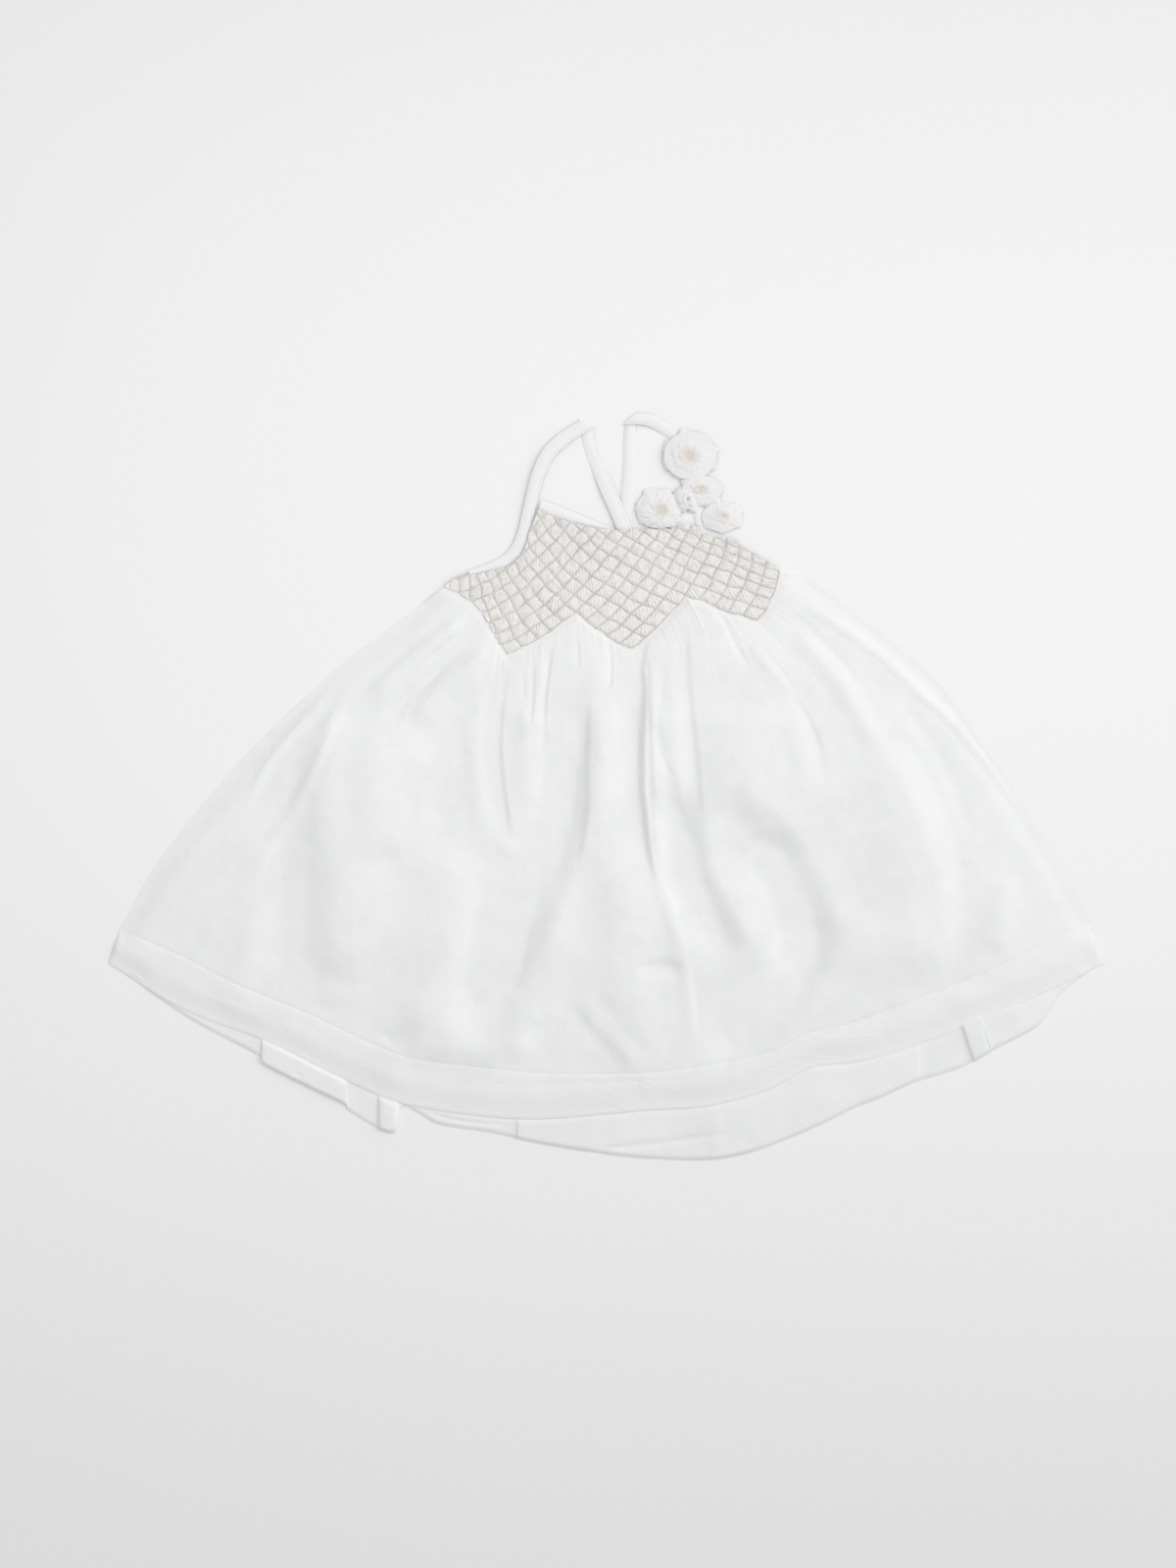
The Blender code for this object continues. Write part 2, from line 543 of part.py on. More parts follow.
def make_skirt(place, material):
    top = skirt_top(place)
    hem = smooth_curve(plan(FRONT_HEM))
    fold_line = smooth_curve(plan(HEM_FOLD_LINE))
    hem_x = [np.array([hem[0, 0]])]
    for reach in SKIRT_FAN:
        hem_x.append(np.linspace(hem_x[-1][-1], reach.hem_x, reach.columns + 1)[1:])
    hem_x = np.concatenate(hem_x)
    edge = np.stack([hem_x, at_x(hem, hem_x)], -1)
    share = (hem_x - hem_x[0]) / (hem_x[-1] - hem_x[0])
    line_x = fold_line[0, 0] + share * (fold_line[-1, 0] - fold_line[0, 0])
    line = np.stack([line_x, at_x(fold_line, line_x)], -1)
    down = (np.arange(SKIRT_ROWS + 1) / SKIRT_ROWS) ** SKIRT_ROW_SPREAD
    left = at_shares(smooth_curve(plan(LEFT_SIDE)), down)
    right = at_shares(smooth_curve(plan(RIGHT_SIDE)), down)
    left[0], right[0] = top[0], top[-1]
    body = panel(top, line, left, right, down)
    way = (edge - line) / np.linalg.norm(edge - line, axis=1)[:, None]
    rows = np.concatenate([body, [line + way * HEM_STEP_WIDTH], [(line + edge) / 2], [edge]])
    fallen = np.linalg.norm(rows - rows[:1], axis=-1)
    column = np.arange(len(top))
    uneven = 0.6 + 0.4 * np.sin(1.7 * column)
    gather = GATHER_RISE * uneven * (column % 2) * np.exp(-fallen / GATHER_REACH)
    height = skirt_height(rows, gather)
    thickness = np.full(height.shape, CLOTH)
    height[SKIRT_ROWS + 1 :] += HEM_STEP
    thickness[SKIRT_ROWS + 1 :] += HEM_STEP
    outer = np.dstack([rows, height])
    inner = np.dstack([rows, height - thickness])
    return grid_wall("front_skirt", outer, inner, material)


def make_back(material):
    """The back panel: flat where it rests, with its hem's folds where they show."""
    hem = plan(BACK_HEM)
    tops = np.array([station.top for station in BACK_HEM])
    front = at_x(smooth_curve(plan(FRONT_HEM)), hem[:, 0])
    shown = front - hem[:, 1] > 2 * FOLD_END
    tops = np.where(shown, tops, BACK_TOP)
    inside = np.stack([hem[:, 0], np.maximum(front, hem[:, 1]) + HEM_COVER], -1)
    inside[0, 0] += HEM_COVER_INSET
    inside[-1, 0] -= HEM_COVER_INSET
    share = (hem[:, 0] - hem[0, 0]) / (hem[-1, 0] - hem[0, 0])
    neckline = at_shares(smooth_curve(plan(BACK_NECKLINE)), share)
    down = np.arange(BACK_ROWS + 1) / BACK_ROWS
    left = at_shares(smooth_curve(plan(LEFT_SIDE)), down) + (BACK_INSET, 0)
    right = at_shares(smooth_curve(plan(RIGHT_SIDE)), down) - (BACK_INSET, 0)
    left[0], left[-1] = neckline[0], inside[0]
    right[0], right[-1] = neckline[-1], inside[-1]
    body = panel(neckline, inside, left, right, down)
    clear = np.maximum(front - FRONT_HEM_CLEARANCE, hem[:, 1] + FOLD_END + 1.0)
    risen = np.maximum(clear - FOLD_END, hem[:, 1] + 1.5)
    rows = np.concatenate([
        body,
        [np.stack([hem[:, 0], clear], -1)],
        [np.stack([hem[:, 0], risen], -1)],
        [hem],
    ])
    height = np.full(rows.shape[:2], BACK_TOP)
    height[-2:] = tops
    outer = np.dstack([rows, height])
    inner = np.dstack([rows, np.zeros(rows.shape[:2])])
    return grid_wall("back", outer, inner, material)


def unit(vector):
    return vector / np.linalg.norm(vector)


def strip_frames(strips, thickness, turned):
    """Centre, half width and half thickness of each section. A turned strip shows its other face."""
    centres = plan(strips)
    along = np.gradient(centres, axis=0)
    frames = []
    for strip, centre, way in zip(strips, centres, along):
        way = unit(way)
        right = np.array([way[1], -way[0], 0.0]) * (-1 if turned else 1)
        up = np.array([0, 0, -1.0 if turned else 1.0])
        middle = np.array([centre[0], centre[1], strip.underside + thickness / 2])
        frames.append((middle, right * strip.width / 2, up * thickness / 2))
    return frames


def fold_frames(before, fold, after, thickness):
    """Three sections that turn a flat strip over at a fold and send it another way."""
    centre = np.array([fold.x, fold.y], float)
    arrive = unit(centre - (before.x, before.y))
    leave = unit(np.array([after.x, after.y]) - centre)
    outward = unit(arrive - leave)
    crease = unit(arrive + leave)
    if crease @ (arrive[1], -arrive[0]) < 0:
        crease = -crease
    slant = abs(crease @ (arrive[1], -arrive[0]))
    width = np.append(crease * fold.width / 2 / slant, 0.0)
    half = thickness / 2
    upper = np.array([centre[0], centre[1], fold.underside + half])
    lower = np.array([centre[0], centre[1], half])
    out = np.append(outward, 0.0)
    middle = (upper + lower) / 2 + out * (half + SEAM_GAP)
    up = np.array([0, 0, half])
    return [(upper, width, up), (middle, width, out * half), (lower, width, -up)]


def make_strip(name, frames, material):
    """A strip through its sections, each a flat hexagon."""
    points = []
    for centre, right, up in frames:
        for across, over in ((-1, 0), (-0.8, -1), (0.8, -1), (1, 0), (0.8, 1), (-0.8, 1)):
            points.append(centre + across * right + over * up)
    sides = 6
    faces = [list(range(sides)), list(range(len(points) - sides, len(points)))]
    for section in range(len(frames) - 1):
        for side in range(sides):
            here = section * sides + side
            after = section * sides + (side + 1) % sides
            faces.append([here, after, after + sides, here + sides])
    return make_object(name, points, faces, material)


def make_strap(name, front, fold, back, material):
    frames = strip_frames(front, CLOTH, turned=False)
    frames += fold_frames(front[-1], fold, back[0], CLOTH)
    frames += strip_frames(back, CLOTH, turned=True)
    return make_strip(name, frames, material)


def make_flower(flower, material):
    """A rolled cloth flower: a low dome with a ring of petals, a raised heart and a hollow middle."""
    points = []
    for ring in FLOWER_RINGS:
        for side in range(FLOWER_SIDES):
            angle = 2 * math.pi * side / FLOWER_SIDES
            petal = math.cos(flower.petals * (angle - flower.turn - ring.twist))
            radius = ring.radius * (1 + PETAL_DEPTH * ring.lobes * (petal - 1))
            height = ring.height * (1 + PETAL_DEPTH * ring.lobes * petal)
            points.append((
                flower.x + radius * flower.half_width * math.cos(angle),
                flower.y + radius * flower.half_depth * math.sin(angle),
                flower.underside + height * flower.height / (1 + PETAL_DEPTH),
            ))
    faces = [list(range(FLOWER_SIDES))]
    for ring in range(len(FLOWER_RINGS) - 1):
        for side in range(FLOWER_SIDES):
            here = ring * FLOWER_SIDES + side
            after = ring * FLOWER_SIDES + (side + 1) % FLOWER_SIDES
            faces.append([here, after, after + FLOWER_SIDES, here + FLOWER_SIDES])
    middle = len(points)
    last = middle - FLOWER_SIDES
    points.append((flower.x, flower.y, flower.underside + 0.5 * flower.height))
    for side in range(FLOWER_SIDES):
        faces.append([last + side, last + (side + 1) % FLOWER_SIDES, middle])
    return make_object(flower.name, points, faces, material)


def main():
    clear_scene()
    cotton = cloth_material("white cotton", WHITE)
    bias = cloth_material("bias strip", WHITE)
    smocked = cloth_material("smocked cotton", CREAM)
    petals = cloth_material("petal cloth", WHITE)
    make_back(cotton)
    place = make_smocking(smocked)[1]
    make_skirt(place, cotton)
    make_strip("neck_binding", strip_frames(NECK_BINDING, BINDING_THICKNESS, False), bias)
    make_strap("left_strap", LEFT_STRAP_FRONT, LEFT_STRAP_FOLD, LEFT_STRAP_BACK, bias)
    make_strap("right_strap", RIGHT_STRAP_FRONT, RIGHT_STRAP_FOLD, RIGHT_STRAP_BACK, bias)
    for flower in FLOWERS:
        make_flower(flower, petals)


main()
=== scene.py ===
"""A toddler's sleeveless dress of thin white cotton, laid flat on its back: its cloth, sewing and finish.

Tables and sizes are in millimetres and go through MM. +X is to the right, +Y towards the straps.
"""

import math
from collections import namedtuple
from contextlib import contextmanager

import bmesh
import bpy
import numpy as np
from mathutils import Matrix, Vector


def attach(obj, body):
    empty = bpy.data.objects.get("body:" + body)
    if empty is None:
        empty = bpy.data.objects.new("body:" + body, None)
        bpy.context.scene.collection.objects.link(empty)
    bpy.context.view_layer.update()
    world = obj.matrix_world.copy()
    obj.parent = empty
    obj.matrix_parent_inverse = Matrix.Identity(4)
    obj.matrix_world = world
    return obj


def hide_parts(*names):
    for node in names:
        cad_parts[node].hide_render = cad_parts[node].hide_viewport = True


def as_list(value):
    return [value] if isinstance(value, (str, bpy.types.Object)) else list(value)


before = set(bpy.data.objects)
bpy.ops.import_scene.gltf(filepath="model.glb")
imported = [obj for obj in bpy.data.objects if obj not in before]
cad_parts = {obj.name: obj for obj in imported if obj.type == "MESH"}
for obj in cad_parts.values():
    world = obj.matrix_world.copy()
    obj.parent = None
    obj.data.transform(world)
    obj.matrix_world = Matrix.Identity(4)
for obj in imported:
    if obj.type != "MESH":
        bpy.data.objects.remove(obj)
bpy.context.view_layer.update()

MM = 0.001
RIM_ANGLE = math.radians(55)  # a sharper turn is a rim
SMOOTH_STEPS = 12  # points between two stations
EDGE_STEPS = 4  # and along edges that are only measured from or cut along
FOLD_STEPS = 6
BACK_HEM_STEPS = 8

# Cloth and seams
CLOTH = 1.2  # how thick the gathered cotton lies
WALL = 0.6  # thickness of the smocked cloth
SEAM_GAP = 0.3
BACK_TOP = CLOTH
FRONT_UNDERSIDE = BACK_TOP + SEAM_GAP
FRONT_TOP = FRONT_UNDERSIDE + CLOTH
HEM_TURN_OUT = 1.0  # how far a folded edge bulges
TURN_IN = 3.0  # how far it goes back under
SIDE_BOTTOM = 0.05  # the side seams wrap the back's edge, down to the table
SIDE_TURN_OUT = 1.5
SIDE_TURN_START = 12.0
SIDE_SPREAD = 1.1  # how far it lies out flat on the table, as a share of its bulge
TURNED_ROWS = ((0.6, 0.4), (1.0, 0.9))  # shares out and down of the rows that turn an edge
TURNED_CLOTH = (0.6, 1.2, 4.0)  # how much cloth is used up to each row of a turned edge
LEAST_TURN = 0.02

# Front skirt
HEM_STEP = 0.22  # the turned hem's second layer
HEM_STEP_WIDTH = 3.5
HEM_EDGE_SETTLE = 0.9  # the share by which the hem comes down to the back at its edge
HEM_EDGE_HEIGHT = 0.8
HEM_END_HEIGHT = 0.3  # towards the side seams
HEM_MIDDLE_REACH = 230.0
HEM_LEFT_DOUBLE = 0.4  # how much of the double cloth's whiteness shows at the left
EDGE_SINK = 0.2  # how far an edge is pressed into what it lies on
HEM_EDGE_REACH = 18.0
HEM_OVERLAP = 3.0  # where the front hangs lower, its hem comes down to the table within this
DOUBLE_START = -150.0  # from here to the right the double cloth gets whiter
DOUBLE_REACH = 200.0
SIDE_EDGE_HEIGHT = 0.2
SIDE_REACH = 18.0
SIDE_FALL = 1.4  # the higher, the closer to the side it comes down
SIDE_START = 22.0  # the side comes down within this length below the smocking
HEM_GROOVE = 0.22  # the sewing pulls the cloth down by this much
HEM_GROOVE_WIDTH = 1.6
HEM_PUCKER = 0.3
HEM_PUCKER_LENGTH = 6.5
HEM_PUCKER_REACH = 7.0
PUCKER_SLANT = (0.5, 0.35)  # how the puckers lean and how long they are
SKIRT_ROWS = 190
ROW_CROWDING = 1.15  # rows lie closer below the smocking
ROWS_ABOVE_SEWING = (0.5, 1.1, 2.0)  # more rows beside the hem's sewing
ROWS_BELOW_SEWING = (0.4, 0.8, 1.2, 2.0)
MEAN_LENGTH = 300  # from the smocking to the hem's sewing
SKIRT_START = 7.0  # it rises to its folds within this length below the smocking
HEM_ROWS = 14
LEFT_SWELL = 1.4  # how far the free cloth lifts between its folds
RIGHT_SWELL = 4.2
SWELL_REACH = 60.0
TOP_SWELL = 0.35  # the share of it at the smocking
TOP_SWELL_REACH = 45.0
HEM_SWELL = 0.45  # the share of it that is left at the hem
HEM_SWELL_REACH = 60.0
FOLD_FADE = 0.2  # share of a fold's length in which it runs out
FOLD_END = 13.0  # and the least length for that
SOFTNESS = 1.0
DEEPEST = 0.6  # no fold dips further into the cloth
GATHER_RISE = 0.75  # pleats let go below the smocking
GATHER_REACH = 20.0
GATHERS_PER_CELL = 1.5
GATHER_START = 1.6
GATHER_DEPTHS = (0.15, 1.0)
GATHER_REACHES = (0.5, 1.9)
GATHER_SPACING = ((0.45, 1.9), (0.3, 0.7))  # how unevenly the pleats are spaced
RUMPLE = 0.7  # broad soft unevenness
RUMPLE_SIZE = 34.0
RUMPLE_START = 30.0
CRINKLE = 0.18
CRINKLE_SIZE = 9.0

# Smocking
CELL_STEPS = 12
CELL_PUFF = 1.15  # how far a cell stands over the thread lines
CELL_ROUNDNESS = 5.0
CELL_MEAN = 0.86  # how tall the cells are, as a share of the puff
CELL_VARIETY = 0.2
CELL_LEAN = 0.16  # how much higher a cell may be on one side
PLEAT_DEPTH = 0.14  # small pleats that run on through the cells
PLEAT_FULLNESS = 0.7
PLEATS_PER_CELL = 1.1
PLEAT_SHIFT = 1.2
PLEAT_BEND = 1.5
PLEAT_BEND_SIZE = 14
FINE_PLEATS_PER_CELL = 3.4  # these are in the finish alone
KNOT_DIP = 0.2  # the cloth dips where two threads cross
KNOT_SHARPNESS = 8
LATTICE_WANDER = 1.1  # how far the gathering pulls the lattice askew
LATTICE_PATCH = 8.5
NECK_LIFT = 1.5  # the neckline's middle lies over the ends of the back straps
NECK_LIFT_X = 11.0
NECK_LIFT_Y = 172.0
NECK_LIFT_REACH = (26.0, 15.0)
NECK_LIFT_PLATEAU = 0.6
THREAD_RADIUS = 0.35
THREAD_END_SWELL = 0.8
THREAD_BEVEL = 1  # steps of a thread's rounding
THREAD_STEPS = 8  # points to a cell
THREAD_HEIGHT = 0.32
THREAD_SINK = 0.3  # how unevenly it sinks between the cells
THREAD_SINK_SIZE = 4.6
THREAD_WANDER = 0.45
THREAD_WANDER_SIZE = 3.1
THREAD_RADII = (0.75, 1.25)  # shares of the radius
SCALLOP = 1.0  # the cells bulge past the neckline and the armhole
SCALLOP_LENGTH = 8.6
SCALLOP_STEP = 0.9
EDGE_THREAD_INSET = 0.7
TRIM_LOW = -5.0  # the foot and the top of the block that trims the cells
TRIM_HIGH = 20.0
TRIM_MARGIN = 30.0

# Back
BACK_INSET = 0.9
BACK_REACH = 338.0  # the outermost points of its hem
BACK_ROWS = 30
BACK_HEM_ROWS = 30
BACK_HEM_CROWDING = 1.6
HEM_COVER = 12.0  # the hem's strip goes on under the front by this much
HEM_COVER_INSET = 8.0  # and narrows there towards its ends
HEM_COVER_REACH = 20
HEM_SHOWN = 6  # so far below the front's, its own hem shows in full
RIGHT_LAP_X = 258.0  # the right-hand lap slants
RIGHT_LAP_REACH = 34.0
RIGHT_LAP_SLANT = 14.0
BACK_RISE = 3.0  # the shown strip rises to its folds within this length
BACK_EDGE = 3.6  # its hem comes down to the table within this length
BACK_EDGE_FULLNESS = 0.7
BACK_FOLD_SHARE = 0.75
BACK_FOLD_START = 1.0  # its creases fade in from so far below the front's edge
BACK_FOLD_REACH = 4
BACK_RUMPLE = 0.22
BACK_RUMPLE_SIZE = 12
BACK_LEAST = 0.05
SIDE_ROLL_REACH = 4.0
BACK_SIDE_HEIGHT = 0.15  # the back thins out under the side seams
BACK_SIDE_REACH = 14.0
BACK_SIDE_TOP = 165.0  # from here down
BACK_SIDE_FADE = 20

# Strips
BINDING_THICKNESS = 1.2
STRAP_THICKNESS = 0.8
STRIP_LAP = 0.6  # the smocked cloth goes on under the strips
ARMHOLE_STRIPS = 5
STRIP_SIDES = 32
STRIP_STEPS = 16
STRIP_FULLNESS = 1.7
STRIP_SPREAD = 0.3  # closes the seam gap on each side
STRIP_GROOVE = 0.3  # how deep the sewing draws in, as a share of half the thickness
STRIP_GROOVE_WIDTH = 0.3
STRIP_WAVE = 0.2  # how unevenly thick it is
STRIP_WAVE_SIZE = 9
STRIP_BELOW = 2.2  # the under face's place in the cloth, in half widths
STITCH_AT = 0.45
LEAST_HEIGHT = 0.02
SEWN_AT = 0.7  # the sewing's place across a strip, from its middle to its edge

# The tables' columns
Station = namedtuple("Station", "x y")
HemStation = namedtuple("HemStation", "x y top")
Cell = namedtuple("Cell", "run rank x y")
Fold = namedtuple("Fold", "name path left right rise flat runs_out", defaults=(0, False))
Strip = namedtuple("Strip", "x y width underside")
Reach = namedtuple("Reach", "hem_x columns")


def named(kind, rows):
    """A table's rows with its columns named."""
    return [kind(*row) for row in rows]


LEFT_SIDE = named(Station, [
    (-110, 136), (-147, 106), (-178, 83), (-234, 31), (-270, -9), (-305, -54), (-325, -89), (-331, -99),
])
RIGHT_SIDE = named(Station, [
    (119, 146), (145, 136), (168, 118), (198, 95), (230, 65), (253, 32), (272, 5), (294, -30), (313, -59),
    (330, -94),
])
FRONT_HEM = named(Station, [
    (-339, -122), (-288, -153), (-231, -175), (-176, -202), (-139, -217), (-91, -225), (-49, -228),
    (-5, -225), (28, -222), (70, -219), (109, -209), (141, -193), (172, -189), (199, -182), (235, -169),
    (262, -158), (297, -143), (340, -122),
])
HEM_FOLD_LINE = named(Station, [
    (-331, -99), (-287, -118), (-258, -133), (-199, -158), (-140, -184), (-82, -193), (-31, -197),
    (43, -195), (109, -183), (136, -170), (172, -161), (244, -134), (280, -118), (330, -94),
])
# The back's hem, with the top of its cloth where it shows below the front
BACK_HEM = named(HemStation, [
    (-338, -121, 1.2), (-288, -158, 1.2), (-238, -185, 1.2), (-235, -189, 1.6), (-232, -193, 4.0),
    (-206, -206, 4.2), (-179, -219, 4.0), (-176, -223, 1.2), (-160, -233, 1.2), (-156, -235, 1.4),
    (-153, -237, 4.2), (-144, -238, 4.0), (-141, -228, 1.4), (-138, -220, 1.2), (-126, -226, 1.2),
    (-112, -233, 1.4), (-79, -238, 1.6), (-61, -242, 1.8), (-58, -243, 2.8), (-32, -248, 2.6),
    (-5, -252, 2.8), (18, -255, 2.4), (55, -257, 2.2), (79, -256, 3.2), (102, -251, 2.8),
    (126, -242, 2.6), (149, -232, 3.0), (169, -222, 2.2), (189, -214, 3.0), (213, -203, 2.6),
    (217, -202, 1.6), (240, -195, 1.6), (251, -190, 1.4), (254, -189, 4.0), (264, -183, 4.0),
    (267, -181, 3.0), (283, -173, 3.2), (295, -166, 2.6), (303, -157, 1.8), (311, -145, 1.2),
    (323, -134, 1.2), (338, -121, 1.2),
])
BACK_NECKLINE = named(Station, [
    (-108, 134), (-79, 142), (-59, 150), (-45, 161), (-32, 168), (10, 169), (52, 169), (85, 161),
    (117, 144),
])

# Where some cells of the smocking lie. Runs go down to the right, ranks up to the right.
SMOCKING = named(Cell, [
    (-0.5, 0.5, -64, 94), (-0.5, 2.5, -47, 104), (-0.5, 4.5, -30, 118), (-0.5, 6.5, -15, 133),
    (-0.5, 8.5, -3, 145), (-0.5, 10.5, 10, 156), (-0.5, 12.5, 20, 171), (-2.5, 0.5, -74, 110),
    (-2.5, 4.5, -42, 131), (-2.5, 8.5, -17, 155), (-4.5, -0.5, -83, 122), (-4.5, 2.5, -63, 135),
    (-4.5, 4.5, -51, 145), (-4.5, 8.5, -30, 169), (-5.5, -1.5, -95, 132), (-6.5, -1.5, -99, 138),
    (-6.5, 0.5, -83, 139), (-6.5, 6.5, -48, 171), (-6.5, 8.5, -40, 181), (1.5, 5.5, -3, 115),
    (1.5, 9.5, 18, 144), (1.5, 13.5, 41, 170), (3.5, 5.5, 11, 106), (3.5, 9.5, 38, 134),
    (3.5, 13.5, 58, 164), (5.5, 13.5, 72, 154), (7.5, 10.5, 82, 126), (7.5, 14.5, 90, 154),
    (9.5, 10.5, 100, 118), (9.5, 14.5, 110, 146),
])
# The tips and valleys of the smocking's lower edge, which is three points
SMOCKING_CORNERS = named(Cell, [
    (0, 0, -67, 89), (0, 5, -20, 118), (5, 5, 18, 93), (5, 10, 56, 130), (10, 10, 104, 113),
    (10, 15, 119, 146),
])
CORNER_WEIGHT = 3.0
POINT_CELLS = 5
FIRST_RUN = -10
LAST_RUN = 10
FIRST_RANK = -4
LAST_RANK = 17
NECK_RANK = 9.5  # where the neckline starts, and how many ranks it rises with each run
NECK_RISE = 0.72
SMOCKED_SIDE = named(Station, [
    (-110, 136), (-99, 131), (-87, 122), (-79, 110), (-75, 102),
])
LEFT_ARMHOLE_END = named(Station, [
    (-104, 141), (-95, 145),
])
NECK_MIDDLE = named(Station, [
    (9, 174), (22, 174), (46, 175), (55, 178), (63, 177),
])
RIGHT_ARMHOLE = named(Station, [
    (67, 172), (73, 169), (85, 169), (94, 162), (103, 157), (113, 151), (119, 146),
])

# How the skirt's columns fan out: where each stretch of the smocking's edge reaches the hem
SKIRT_FAN = named(Reach, [
    (-72, 96), (-18, 50), (55, 50), (112, 50), (209, 50), (340, 50),
])

